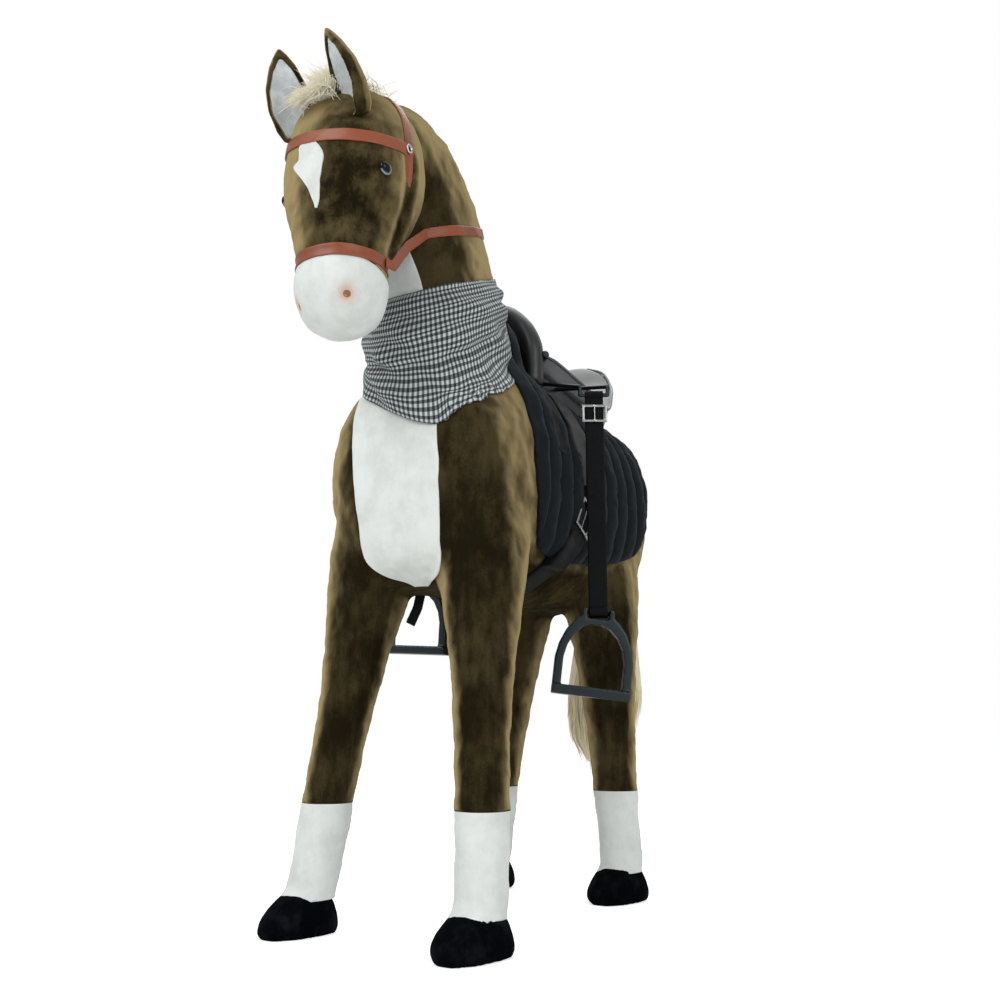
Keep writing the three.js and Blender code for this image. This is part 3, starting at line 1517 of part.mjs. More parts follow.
const girthLean = THREE.MathUtils.degToRad(GIRTH_TILT_DEG);
const girthAcross = vec(0, Math.cos(girthLean), -Math.sin(girthLean));
const girthMiddleAt = (z) => vec(0, GIRTH_Y + (z - girthCrossing) * Math.tan(girthLean), z);
const buckleZ = girthTop + GIRTH_BUCKLE_ABOVE;
const buckleReach = (GIRTH_BUCKLE_HEIGHT / 2) * Math.cos(girthLean);
const highRoom = body(girthFace + GAP).intersect(below(girthTop + GAP));
[1, -1].forEach((side) => {
  const name = side > 0 ? "left" : "right";
  const out = vec(side, 0, 0);
  const low = pointOn(body(girthFace + GAP), girthMiddleAt(buckleZ - buckleReach), out, BODY_WIDTH);
  const high = pointOn(padOuter, girthMiddleAt(buckleZ + buckleReach), out, BODY_WIDTH);
  const up = high.clone().sub(low).normalize();
  const across = girthAcross.clone().multiplyScalar(side);
  across.addScaledVector(up, -across.dot(up)).normalize();
  const frame = buckle(GIRTH_BUCKLE_WIDTH, GIRTH_BUCKLE_HEIGHT, GIRTH_TONGUE_SHARES);
  const laid = seated(frame, low.clone().lerp(high, 0.5), across, up);
  const made = cut(laid, highRoom, body(padFace));
  add(name + "_girth_buckle", mainBody(made), BRIGHT_STEEL);
});

// Stirrup leathers: two layers with a loop at each end
function leather(stirrup) {
  const { across, ahead, bar, length } = stirrup;
  const foot = local(stirrup, 0, 0, -length);
  const middle = local(stirrup, 0, 0, -length / 2);
  const axes = [across, ahead.clone().negate(), Z_AXIS];
  const layers = block(middle, axes, [LEATHER_WIDTH, 2 * LEATHER_THICKNESS, length]);
  const ends = [
    [bar, BAR_RADIUS + SLACK],
    [foot, BAR_RADIUS + IRON_SLACK],
  ];
  const loops = ends.map(([at, inner]) =>
    cylinder(inner + LEATHER_THICKNESS, LEATHER_WIDTH, at, across, LOOP_SIDES),
  );
  const holes = ends.map(([at, inner]) => cylinder(inner, 2 * LEATHER_WIDTH, at, across, LOOP_SIDES));
  return cut(join(layers, ...loops), ...holes);
}

// Irons: an arch with a slot under its top bar, and a tread
function iron(stirrup) {
  const { across, ahead, length, tilt } = stirrup;
  const drop = IRON_SLACK - SLACK - (LEATHER_WIDTH / 2) * Math.sin(tilt);
  const foot = local(stirrup, 0, 0, -length - drop);
  const bottom = BAR_RADIUS - IRON_HEIGHT;
  const half = IRON_WIDTH / 2;
  const outline = (shares) => {
    const right = shares.map(([wide, up]) => [wide * half, bottom + up * IRON_HEIGHT]);
    const left = right
      .slice()
      .reverse()
      .map(([u, z]) => [-u, z]);
    return [...right, ...left];
  };
  const place = new THREE.Matrix4()
    .makeBasis(across, ahead.clone().negate(), Z_AXIS)
    .setPosition(foot)
    .multiply(new THREE.Matrix4().makeRotationY(tilt));
  const slotHalf = LEATHER_WIDTH / 2 + IRON_SLACK;
  const loopReach = BAR_RADIUS + 2 * IRON_SLACK + LEATHER_THICKNESS;
  const plate = prism(outline(IRON_OUTER_SHARES), "y", -IRON_DEPTH / 2, IRON_DEPTH / 2);
  const opening = prism(outline(IRON_INNER_SHARES), "y", -IRON_DEPTH, IRON_DEPTH);
  const slot = block(
    vec(0, 0, (IRON_HEIGHT - loopReach) / 2),
    [X_AXIS, Y_AXIS, Z_AXIS],
    [2 * slotHalf, 2 * IRON_DEPTH, IRON_HEIGHT + loopReach],
  );
  const topBar = cylinder(BAR_RADIUS, 2 * slotHalf + BAR_RADIUS, vec(0, 0, 0), X_AXIS, LOOP_SIDES);
  const tread = block(
    vec(0, 0, bottom + TREAD_HEIGHT / 2),
    [X_AXIS, Y_AXIS, Z_AXIS],
    [IRON_WIDTH, TREAD_DEPTH, TREAD_HEIGHT],
  );
  return placed(join(cut(plate, opening, slot), topBar, tread), place);
}

stirrups.forEach((stirrup) => {
  add(stirrup.name + "_stirrup_leather", mainBody(leather(stirrup)), BLACK_LEATHER);
  add(stirrup.name + "_stirrup_iron", mainBody(iron(stirrup)), BLACK_IRON);
  const centre = local(stirrup, 0, LEATHER_THICKNESS + GAP, -BUCKLE_BELOW_BAR);
  const frame = buckle(BUCKLE_WIDTH, BUCKLE_HEIGHT, [0]);
  const made = seated(frame, centre, stirrup.across.clone(), Z_AXIS);
  add(stirrup.name + "_leather_buckle", made, BRIGHT_STEEL);
});

// The right leather's free end hangs behind its iron
const rightStirrup = stirrups[1];
const freeEnd = strap(
  LEATHER_END_SHARES.map(([aside, back, down]) => [
    local(
      rightStirrup,
      aside * LEATHER_WIDTH,
      -(LEATHER_THICKNESS * 1.5 + GAP) - back * IRON_DEPTH,
      -rightStirrup.length + (1 - down) * LEATHER_END,
    ),
    rightStirrup.across,
  ]),
  LEATHER_END_WIDTH,
  LEATHER_THICKNESS,
);
add("right_leather_end", freeEnd, BLACK_LEATHER);

// Centre the part over its box
horse.updateMatrixWorld(true);
const box = new THREE.Box3().setFromObject(horse);
horse.position.set(-(box.min.x + box.max.x) / 2, -(box.min.y + box.max.y) / 2, 0);
horse.updateMatrixWorld(true);

export default horse;
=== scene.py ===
"""Dresses a standing plush riding horse: its plush, hair, bridle, neckerchief, quilted pad,
saddle, girth and stirrups, with their finishes, and the studio around it.

Metres. The horse looks along -Y, its left side is +X, and the floor is z = 0.
"""
import json
import math
import random

import bmesh
import bpy
from bpy.props import FloatProperty, FloatVectorProperty, IntProperty, PointerProperty
from mathutils import Matrix, Vector, noise
from mathutils.bvhtree import BVHTree
from mathutils.kdtree import KDTree

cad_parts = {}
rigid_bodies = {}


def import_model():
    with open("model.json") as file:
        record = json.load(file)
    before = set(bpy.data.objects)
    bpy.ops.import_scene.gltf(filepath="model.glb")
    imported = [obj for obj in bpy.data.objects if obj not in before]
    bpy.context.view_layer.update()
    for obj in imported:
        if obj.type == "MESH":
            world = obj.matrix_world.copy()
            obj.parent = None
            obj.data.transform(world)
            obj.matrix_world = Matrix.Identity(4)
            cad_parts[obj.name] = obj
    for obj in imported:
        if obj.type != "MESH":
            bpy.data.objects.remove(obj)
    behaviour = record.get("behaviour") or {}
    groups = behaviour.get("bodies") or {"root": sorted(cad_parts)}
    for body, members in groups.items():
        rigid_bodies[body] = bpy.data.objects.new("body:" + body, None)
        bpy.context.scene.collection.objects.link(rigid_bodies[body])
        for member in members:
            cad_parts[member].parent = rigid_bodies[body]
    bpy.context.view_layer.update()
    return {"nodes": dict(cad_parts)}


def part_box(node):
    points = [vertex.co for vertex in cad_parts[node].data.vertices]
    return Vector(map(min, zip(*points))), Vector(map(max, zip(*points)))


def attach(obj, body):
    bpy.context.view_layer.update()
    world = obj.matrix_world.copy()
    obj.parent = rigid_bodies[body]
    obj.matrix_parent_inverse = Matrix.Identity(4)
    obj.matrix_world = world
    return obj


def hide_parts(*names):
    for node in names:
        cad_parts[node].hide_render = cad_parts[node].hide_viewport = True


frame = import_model()

bl_info = {
    "name": "Plush Riding Horse",
    "version": (1, 0, 0),
    "blender": (4, 5, 0),
    "location": "3D View > Sidebar > Horse",
    "description": "Dresses a plush riding horse with its pile, hair, tack and studio",
    "category": "Object",
}

X = Vector((1, 0, 0))
Y = Vector((0, 1, 0))
Z = Vector((0, 0, 1))
HORSE = "horse"
SIDES = ((1, "left"), (-1, "right"))
LEGS = ("left_front", "right_front", "left_rear", "right_rear")
FRAME_TUBES = ("front_leg_hoop", "rear_leg_hoop", "spine_tube", "neck_tube")


def colour(name, about, value):
    """A colour property with its default."""
    return FloatVectorProperty(
        name=name, description=about, default=value, subtype="COLOR", size=3, min=0, max=1
    )


def length(name, about, value):
    """A length property in metres with its default."""
    return FloatProperty(
        name=name, description=about, default=value, min=0, unit="LENGTH", precision=4
    )


def count(name, about, value, least):
    """A whole number property with its default."""
    return IntProperty(name=name, description=about, default=value, min=least)


class HorseColours(bpy.types.PropertyGroup):
    """The colours of the horse and its tack."""

    pile_dark: colour("Pile, shaded", "Brown pile lying towards the light", (0.0125, 0.0095, 0.004))
    pile_light: colour("Pile, brushed", "Brown pile that is brushed up", (0.062, 0.047, 0.021))
    # Painted sheen: this pale colour is mixed into the brown pile where it is seen aslant.
    pile_sheen_painted: colour("Pile, aslant", "Brown pile that is seen aslant", (0.36, 0.28, 0.135))
    white_pile: colour("White pile", "Socks, muzzle, blaze and chest", (0.74, 0.78, 0.75))
    hoof_pile: colour("Black pile", "Hooves", (0.0015, 0.002, 0.003))
    nostril: colour("Nostril", "Sewn dimples of the muzzle", (0.62, 0.28, 0.17))
    forelock: colour("Forelock", "Hair of the forelock and mane", (1.0, 0.95, 0.77))
    tail: colour("Tail", "Hair of the tail", (1.0, 0.91, 0.66))
    ear_cloth: colour("Ear lining", "Short cloth inside the ears", (0.72, 0.78, 0.8))
    bridle: colour("Bridle", "Brown strap", (0.26, 0.058, 0.017))
    # Partly painted reflection: the seat's dark leather is lifted to a dark grey, well above the
    # black leather, to stand in for part of the broad reflection on its face.
    seat: colour("Seat", "Shiny leather of the seat", (0.05, 0.057, 0.058))
    leather: colour("Saddle leather", "Black leather", (0.004, 0.005, 0.006))
    quilt: colour("Pad cloth", "Quilted charcoal cloth", (0.006, 0.008, 0.01))
    webbing: colour("Webbing", "Woven black strap", (0.004, 0.0045, 0.0055))
    check_light: colour("Check, light", "Light squares of the neckerchief", (0.62, 0.69, 0.69))
    check_dark: colour("Check, dark", "Dark squares of the neckerchief", (0.005, 0.009, 0.014))
    iron: colour("Iron", "Blackened stirrup iron", (0.032, 0.04, 0.045))
    steel: colour("Steel", "Bright buckles and snaps", (0.42, 0.42, 0.41))
    eye: colour("Eye", "Glossy plastic eye", (0.006, 0.007, 0.009))
    floor: colour("Floor", "Pale studio floor", (0.86, 0.86, 0.86))


class HorseSizes(bpy.types.PropertyGroup):
    """The sizes of the horse's soft pieces and straps."""

    pile: length("Pile", "Depth of the pile over the stuffed form", 0.003)
    lumps: length("Lumps", "Height of the filling's lumps", 0.0022)
    strap: length("Strap", "Thickness of the bridle's straps", 0.0024)
    check: length("Check", "Width of one square of the neckerchief", 0.0037)
    cloth: length("Cloth", "Thickness of the neckerchief's cloth", 0.0011)
    pad: length("Pad", "Thickness of the pad in a channel", 0.0145)
    seam: length("Seam", "Thickness of the pad in a seam", 0.006)
    channels: count("Channels", "Sewn channels of the pad", 11, 3)
    forelock_locks: count("Forelock locks", "Locks in the forelock", 2600, 10)
    mane_locks: count("Mane locks", "Locks in the mane", 900, 10)
    tail_locks: count("Tail locks", "Locks in the tail", 900, 10)


def colours():
    """The scene's colour settings."""
    return bpy.context.scene.horse_colours


def sizes():
    """The scene's size settings."""
    return bpy.context.scene.horse_sizes


# Boxes of the frame's nodes


def low(node):
    """The lowest corner of a node's box."""
    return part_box(node)[0]


def high(node):
    """The highest corner of a node's box."""
    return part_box(node)[1]


def centre(node):
    """The middle of a node's box."""
    return (low(node) + high(node)) / 2


MIDDLE = centre("torso").x  # the horse's plane of symmetry

# Mesh helpers

MERGE = 1e-5
FINE_MERGE = 1e-6
RAY_REACH = 2.0
RESEAT_REACH = 0.014
SOFT_EDGE_ANGLE = math.radians(50)
BAND_STEPS = 110
BAND_ROWS = 4


def cad_copy(*names):
    """A bmesh of copies of CAD nodes, with their loose triangles merged."""
    bm = bmesh.new()
    for name in names:
        bm.from_mesh(frame["nodes"][name].data)
    bmesh.ops.remove_doubles(bm, verts=bm.verts, dist=MERGE)
    return bm


def tree_over(*names):
    """A search tree over whole objects, for laying pieces on them."""
    bm = bmesh.new()
    for name in names:
        bm.from_mesh(bpy.data.objects[name].data)
    tree = BVHTree.FromBMesh(bm)
    bm.free()
    return tree


def mesh_of(name, bm):
    """A mesh that takes over a bmesh."""
    mesh = bpy.data.meshes.new(name)
    bm.to_mesh(mesh)
    bm.free()
    return mesh


def linked(name, data):
    """A new object in the scene."""
    obj = bpy.data.objects.new(name, data)
    bpy.context.scene.collection.objects.link(obj)
    return obj


def skinned(bm, voxel):
    """One closed skin of even quads over everything in a bmesh, without what is inside it."""
    draft = linked("draft", mesh_of("draft", bm))
    remesh = draft.modifiers.new("Skin", "REMESH")
    remesh.mode = "VOXEL"
    remesh.voxel_size = voxel
    done = bmesh.new()
    done.from_object(draft, bpy.context.evaluated_depsgraph_get())
    bpy.data.batch_remove([draft, draft.data])
    keep_largest(done)
    return done


def keep_largest(bm):
    """Keeps the largest connected part of a bmesh."""
    seen = set()
    best = []
    for start in bm.verts:
        if start in seen:
            continue
        seen.add(start)
        part = [start]
        for v in part:
            for e in v.link_edges:
                other = e.other_vert(v)
                if other not in seen:
                    seen.add(other)
                    part.append(other)
        if len(part) > len(best):
            best = part
    kept = set(best)
    bmesh.ops.delete(bm, geom=[v for v in bm.verts if v not in kept], context="VERTS")


def relax(bm, rounds):
    """Evens out the facets of a form."""
    for _ in range(rounds):
        bmesh.ops.smooth_vert(
            bm, verts=bm.verts, factor=0.5, use_axis_x=True, use_axis_y=True, use_axis_z=True
        )


def swell(bm, amount, lumps=0.0, lump_size=0.03):
    """Moves a skin outwards, with the uneven lumps of a filling."""
    bm.normal_update()
    moves = []
    for v in bm.verts:
        bump = noise.fractal(v.co / lump_size, 0.9, 2.2, 3) if lumps else 0
        moves.append(v.normal * (amount + lumps * bump))
    for v, move in zip(bm.verts, moves):
        v.co += move


def smooth_form(nodes, voxel, rounds, grow, lumps=0.0, lump_size=0.03):
    """A form over CAD nodes: closed, smooth and a little fuller than them."""
    bm = skinned(cad_copy(*nodes), voxel)
    relax(bm, rounds)
    swell(bm, grow, lumps, lump_size)
    return bm


def reseat(bm, old, new):
    """Moves a piece that lay on one skin so that it lies as close on another."""
    for v in bm.verts:
        on_old, out, _, gap = old.find_nearest(v.co, RESEAT_REACH)
        if on_old is None:
            continue
        on_new = new.find_nearest(v.co)[0]
        lift = (v.co - on_old).dot(out) - (v.co - on_new).dot(out)
        v.co += out * lift * (1 - gap / RESEAT_REACH)


def hug(at, tree, room):
    """Moves a point out of a skin, to a small distance above it."""
    near, out, _, _ = tree.find_nearest(at)
    if (at - near).dot(out) < room:
        return near + out * room
    return at


def everything(bm):
    """All the geometry of a bmesh."""
    return bm.verts[:] + bm.edges[:] + bm.faces[:]


def rims(bm):
    """The open edges of a bmesh."""
    return [e for e in bm.edges if e.is_boundary]


def cut_plane(bm, at, normal, above):
    """Keeps what is on one side of a plane, and closes the cut."""
    cut = bmesh.ops.bisect_plane(
        bm,
        geom=everything(bm),
        plane_co=at,
        plane_no=normal,
        clear_outer=not above,
        clear_inner=above,
    )
    rim = [g for g in cut["geom_cut"] if isinstance(g, bmesh.types.BMEdge)]
    bmesh.ops.holes_fill(bm, edges=rim, sides=0)


def placed(bm, matrix):
    """Moves a whole bmesh."""
    bmesh.ops.transform(bm, matrix=matrix, verts=bm.verts)
    return bm


def facing(at, out):
    """The matrix that takes a form about Z to a point, facing a direction."""
    return Matrix.Translation(at) @ out.to_track_quat("Z", "Y").to_matrix().to_4x4()


def piece(name, bm, finish, slot, body=HORSE, replaces=()):
    """Turns a bmesh into a finished piece that rides on a body and stands for CAD nodes."""
    mesh = mesh_of(name, bm)
    mesh.shade_smooth()
    mesh.materials.append(bpy.data.materials[finish])
    obj = linked(name, mesh)
    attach(obj, body)
    if replaces:
        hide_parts(*replaces)
    return obj


def formed(name, node, shape, finish, slot, body=HORSE):
    """A piece that stands for one CAD node: its shape is what smooth_form needs."""
    return piece(name, smooth_form([node], *shape), finish, slot, body, [node])


def thicken(obj, thickness, bevel=0.0, offset=1.0):
    """Gives a sheet its thickness and soft edges."""
    wall = obj.modifiers.new("Thickness", "SOLIDIFY")
    wall.thickness = thickness
    wall.offset = offset
    if bevel:
        soften = obj.modifiers.new("Soft edge", "BEVEL")
        soften.width = bevel
        soften.segments = 2
        soften.limit_method = "ANGLE"
        soften.angle_limit = SOFT_EDGE_ANGLE
    return obj


def carve(obj, bm):
    """Cuts a form out of a piece."""
    cutter = linked("cutter", mesh_of("cutter", bm))
    cut = obj.modifiers.new("Cut", "BOOLEAN")
    cut.operation = "DIFFERENCE"
    cut.object = cutter
    evaluated = obj.evaluated_get(bpy.context.evaluated_depsgraph_get())
    done = bmesh.new()
    done.from_mesh(evaluated.to_mesh())
    evaluated.to_mesh_clear()
    obj.modifiers.remove(cut)
    done.to_mesh(obj.data)
    done.free()
    bpy.data.batch_remove([cutter, cutter.data])


def grid(columns, rows, place, closed=False):
    """A sheet of quads: place(s, t) gives each corner for s along and t across, both 0 to 1.
    Its UV map holds metres along the sheet and the share across it."""
    bm = bmesh.new()
    bmesh.ops.create_grid(bm, x_segments=columns, y_segments=rows, size=0.5)
    uv = bm.loops.layers.uv.new("Cloth")
    share = {v: (round(v.co.x + 0.5, 5), round(v.co.y + 0.5, 5)) for v in bm.verts}
    for v, (s, t) in share.items():
        v.co = place(s, t)
    level = min((t for s, t in share.values()), key=lambda t: abs(t - 0.5))
    middle = sorted((s, v.co.to_tuple()) for v, (s, t) in share.items() if t == level)
    run = 0.0
    along = {}
    before = middle[0][1]
    for s, at in middle:
        run += math.dist(at, before)
        along[s] = run
        before = at
    for face in bm.faces:
        for loop in face.loops:
            s, t = share[loop.vert]
            loop[uv].uv = (along[s], t)
    if closed:
        bmesh.ops.remove_doubles(bm, verts=bm.verts, dist=MERGE)
    bm.normal_update()
    return bm


def face_outwards(bm, outwards):
    """Turns a sheet so that its faces point to the side that outwards(face) gives."""
    face = next(iter(bm.faces))
    if face.normal.dot(outwards(face)) < 0:
        bmesh.ops.reverse_faces(bm, faces=bm.faces)
    bm.normal_update()
    return bm


def landing(tree, origin, direction):
    """Where a ray meets a skin."""
    hit = tree.ray_cast(origin, direction, RAY_REACH)[0]
    if hit is None:
        raise RuntimeError(f"a ray from {tuple(origin)} along {tuple(direction)} meets nothing")
    return hit


def band(tree, middle, normal, zero, sweep, width, lift=0.0, sunk=None):
    """A strap laid round a skin in the plane across `normal`, from the direction `zero` through
    the sweep in degrees, found by rays towards the middle. sunk(at, share across) is how deep it
    lies in the pile."""
    normal = normal.normalized()
    start = (zero - normal * zero.dot(normal)).normalized()
    side = normal.cross(start)

    def place(s, t):
        angle = math.radians(sweep * s)
        out = start * math.cos(angle) + side * math.sin(angle)
        level = middle + normal * (t - 0.5) * width
        at = landing(tree, level + out, -out)
        return at + out * (lift - (sunk(at, t) if sunk else 0))

    bm = grid(BAND_STEPS, BAND_ROWS, place, closed=abs(sweep) >= 360)
    return face_outwards(bm, lambda f: f.calc_center_median() - middle)


def smooth_path(points, number):
    """Points along a smooth curve through given points."""
    points = [Vector(p) for p in points]
    ends = [points[0] * 2 - points[1], *points, points[-1] * 2 - points[-2]]
    spans = len(points) - 1
    path = []
    for i in range(number):
        at = i / (number - 1) * spans
        k = min(int(at), spans - 1)
        t = at - k
        p0, p1, p2, p3 = ends[k : k + 4]
        first = p1 * 2 + (p2 - p0) * t
        second = (p0 * 2 - p1 * 5 + p2 * 4 - p3) * t * t
        third = (p1 * 3 - p0 - p2 * 3 + p3) * t * t * t
        path.append((first + second + third) / 2)
    return path


def between(points, share):
    """The point at a share of a list of points."""
    at = share * (len(points) - 1)
    k = min(int(at), len(points) - 2)
    return points[k].lerp(points[k + 1], at - k)


def spun(profile):
    """A round solid about Z: the profile is (radius, height) pairs."""
    bm = bmesh.new()
    verts = [bm.verts.new((r, 0, z)) for r, z in profile]
    edges = [bm.edges.new(pair) for pair in zip(verts, verts[1:])]
    bmesh.ops.spin(
        bm, geom=verts + edges, axis=Z, cent=(0, 0, 0), steps=32, angle=math.tau, use_merge=True
    )
    bmesh.ops.remove_doubles(bm, verts=bm.verts, dist=FINE_MERGE)
    bmesh.ops.holes_fill(bm, edges=rims(bm), sides=0)
    bmesh.ops.recalc_face_normals(bm, faces=bm.faces)
    return bm


def strung(name, lines, radius, resolution, finish, slot, body=HORSE, replaces=(), base=None):
    """Round strands, and a form that they lie on, as one piece. A line is (point, share of the
    radius) pairs."""
    curve = bpy.data.curves.new(name, "CURVE")
    curve.dimensions = "3D"
    curve.bevel_depth = radius
    curve.bevel_resolution = resolution
    curve.use_fill_caps = True
    for line in lines:
        spline = curve.splines.new("POLY")
        spline.points.add(len(line) - 1)
        for point, (at, share) in zip(spline.points, line):
            point.co = (*at, 1)
            point.radius = share
    draft = linked(name + "_line", curve)
    evaluated = draft.evaluated_get(bpy.context.evaluated_depsgraph_get())
    mesh = bpy.data.meshes.new_from_object(evaluated)
    bm = bmesh.new()
    bm.from_mesh(mesh)
    bpy.data.batch_remove([mesh, draft, curve])
    bmesh.ops.remove_doubles(bm, verts=bm.verts, dist=FINE_MERGE)
    bmesh.ops.recalc_face_normals(bm, faces=bm.faces)
    if base:
        form = mesh_of("draft", base)
        bm.from_mesh(form)
        bpy.data.meshes.remove(form)
    return piece(name, bm, finish, slot, body, replaces)


# Node helpers


def feed(tree, node, inputs):
    """Links or sets a node's inputs."""
    for key, value in inputs.items():
        if isinstance(value, bpy.types.NodeSocket):
            tree.links.new(value, node.inputs[key])
        else:
            node.inputs[key].default_value = value


def add_node(tree, kind, inputs=None, **settings):
    """A shader node with its settings and inputs."""
    node = tree.nodes.new("ShaderNode" + kind)
    for key, value in settings.items():
        setattr(node, key, value)
    feed(tree, node, inputs or {})
    return node


def maths(tree, operation, *values):
    """A Math node's output."""
    return add_node(tree, "Math", dict(enumerate(values)), operation=operation).outputs[0]


def rgba(value):
    """A colour with its alpha; a socket stays as it is."""
    return value if isinstance(value, bpy.types.NodeSocket) else (*value[:3], 1.0)


def scaled(tint, factor, more=0.0):
    """A lighter or darker colour."""
    return [min(1, c * factor + more) for c in tint]


def mixed(tree, share, first, second):
    """A Mix node's colour output; sockets 6 and 7 are its colours."""
    inputs = {0: share, 6: rgba(first), 7: rgba(second)}
    return add_node(tree, "Mix", inputs, data_type="RGBA", clamp_factor=True).outputs[2]


def ramp(tree, value, start, end):
    """A smooth step of a value from 0 at start to 1 at end."""
    inputs = {"Value": value, "From Min": start, "From Max": end}
    node = add_node(tree, "MapRange", inputs, interpolation_type="SMOOTHSTEP")
    return node.outputs["Result"]


def noisy(tree, vector, scale, detail=3.0, roughness=0.55, stretch=None):
    """A noise texture's value, with its pattern stretched along the axes."""
    if stretch:
        vector = add_node(tree, "Mapping", {"Vector": vector, "Scale": stretch}).outputs[0]
    inputs = {"Vector": vector, "Scale": scale, "Detail": detail, "Roughness": roughness}
    return add_node(tree, "TexNoise", inputs).outputs["Fac"]


def roughened(tree, value, noise_value, amount):
    """A value with a noise added about its middle."""
    return maths(tree, "MULTIPLY_ADD", maths(tree, "SUBTRACT", noise_value, 0.5), amount, value)


def waves(tree, vector, width):
    """Sines along a pattern's two axes: half a wave is one width."""
    split = add_node(tree, "SeparateXYZ", {0: vector})
    turns = [maths(tree, "DIVIDE", split.outputs[axis], width) for axis in (0, 1)]
    return [maths(tree, "SINE", maths(tree, "MULTIPLY", turn, math.pi)) for turn in turns]


def new_group(name, inputs, outputs, fill):
    """A shader node group: fill(tree, inputs) gives what feeds each output."""
    tree = bpy.data.node_groups.new(name, "ShaderNodeTree")
    for way, sockets in (("INPUT", inputs), ("OUTPUT", outputs)):
        for socket, kind in sockets.items():
            tree.interface.new_socket(socket, in_out=way, socket_type="NodeSocket" + kind)
    given = tree.nodes.new("NodeGroupInput").outputs
    feed(tree, tree.nodes.new("NodeGroupOutput"), fill(tree, given))


def add_group(tree, name, inputs):
    """The outputs of a node group placed in a tree with its values."""
    return add_node(tree, "Group", inputs, node_tree=bpy.data.node_groups[name]).outputs


def pile_group(tree, given):
    """Brushed pile: patches that lie up or down, streaks along the hair, and fine fibres."""
    vector, level = given["Vector"], given["Patch Level"]
    broad = noisy(tree, vector, given["Patch Scale"], 4.0, 0.6)
    streaks = noisy(tree, vector, 70.0, 4.0, 0.6, stretch=(1, 1, 0.3))
    fibres = noisy(tree, vector, 900.0, 2.0, 0.7, stretch=(1, 1, 0.35))
    fine = roughened(tree, roughened(tree, broad, streaks, 0.45), fibres, 0.25)
    start, end = maths(tree, "SUBTRACT", level, 0.16), maths(tree, "ADD", level, 0.26)
    lift = ramp(tree, fine, start, end)
    return {
        "Color": mixed(tree, lift, given["Shaded"], given["Brushed"]),
        "Height": maths(tree, "MULTIPLY_ADD", fibres, 0.6, maths(tree, "MULTIPLY", streaks, 0.8)),
        "Roughness": maths(tree, "MULTIPLY_ADD", lift, -0.12, 0.95),
    }


def weave_group(tree, given):
    """Crossed threads over a pattern vector in metres: their height and the gaps between them."""
    threads = [
        maths(tree, "ABSOLUTE", wave) for wave in waves(tree, given["Vector"], given["Thread"])
    ]
    both = maths(tree, "MULTIPLY", *threads)
    return {
        "Height": maths(tree, "MAXIMUM", *threads),
        "Gaps": maths(tree, "SUBTRACT", 1.0, both),
    }


def grain_group(tree, given):
    """Leather grain: creased cells, fine pores and soft scuffs."""
    vector, scale = given["Vector"], given["Scale"]
    inputs = {"Vector": vector, "Scale": scale}
    cells = add_node(tree, "TexVoronoi", inputs, feature="DISTANCE_TO_EDGE")
    creases = ramp(tree, cells.outputs["Distance"], 0.0, 0.16)
    pores = noisy(tree, vector, maths(tree, "MULTIPLY", scale, 2.5), 2.0)
    return {
        "Height": maths(tree, "MULTIPLY_ADD", pores, 0.25, creases),
        "Scuffs": ramp(tree, noisy(tree, vector, 26.0, 6.0, 0.7), 0.5, 0.75),
    }


def check_group(tree, given):
    """Woven checks: light, half and dark squares from a UV in metres."""
    bars = [
        ramp(tree, wave, 0.22, -0.14) for wave in waves(tree, given["Vector"], given["Width"])
    ]
    both = maths(tree, "MULTIPLY", *bars)
    either = maths(tree, "MULTIPLY", maths(tree, "MAXIMUM", *bars), 0.78)
    share = maths(tree, "MULTIPLY_ADD", both, 0.22, either)
    return {"Color": mixed(tree, share, given["Light"], given["Dark"])}


def wear_group(tree, given):
    """Rubbed raised edges, and a mask of the hollows for darkening, from how the surface turns."""
    turn = add_node(tree, "NewGeometry").outputs["Pointiness"]
    uneven = roughened(tree, turn, noisy(tree, given["Vector"], 60.0, 5.0, 0.7), 0.08)
    return {
        "Edge": maths(tree, "MULTIPLY", ramp(tree, uneven, 0.52, 0.6), given["Amount"]),
        "Hollow": ramp(tree, uneven, 0.47, 0.4),
    }


def strand_group(tree, given):
    """Hair: each lock a little lighter or darker, with finer strands along it."""
    clumps = noisy(tree, given["Vector"], 60.0, 3.0, 0.6, stretch=(1, 1, 0.15))
    fine = noisy(tree, given["Vector"], 900.0, 2.0, 0.6, stretch=(1, 1, 0.05))
    share = maths(tree, "MULTIPLY_ADD", fine, 0.5, maths(tree, "MULTIPLY", clumps, 0.6))
    tint = mixed(tree, ramp(tree, share, 0.3, 0.8), given["Root"], given["Tip"])
    return {"Color": tint, "Height": fine}


# Each group: name, inputs besides the vector, outputs, what fills it
GROUPS = (
    (
        "Pile",
        {"Shaded": "Color", "Brushed": "Color", "Patch Scale": "Float", "Patch Level": "Float"},
        {"Color": "Color", "Height": "Float", "Roughness": "Float"},
        pile_group,
    ),
    ("Weave", {"Thread": "Float"}, {"Height": "Float", "Gaps": "Float"}, weave_group),
    ("Grain", {"Scale": "Float"}, {"Height": "Float", "Scuffs": "Float"}, grain_group),
    (
        "Checks",
        {"Width": "Float", "Light": "Color", "Dark": "Color"},
        {"Color": "Color"},
        check_group,
    ),
    ("Wear", {"Amount": "Float"}, {"Edge": "Float", "Hollow": "Float"}, wear_group),
    (
        "Strands",
        {"Root": "Color", "Tip": "Color"},
        {"Color": "Color", "Height": "Float"},
        strand_group,
    ),
)


def new_material(name):
    """A material with its Principled shader: its node tree and the shader."""
    material = bpy.data.materials.new(name)
    material.use_nodes = True
    tree = material.node_tree
    tree.nodes.clear()
    shader = add_node(tree, "BsdfPrincipled")
    add_node(tree, "OutputMaterial", {0: shader.outputs[0]})
    return tree, shader


def set_shader(tree, shader, **values):
    """Sets or feeds a shader's sockets; an underscore stands for a space."""
    feed(tree, shader, {key.replace("_", " "): value for key, value in values.items()})


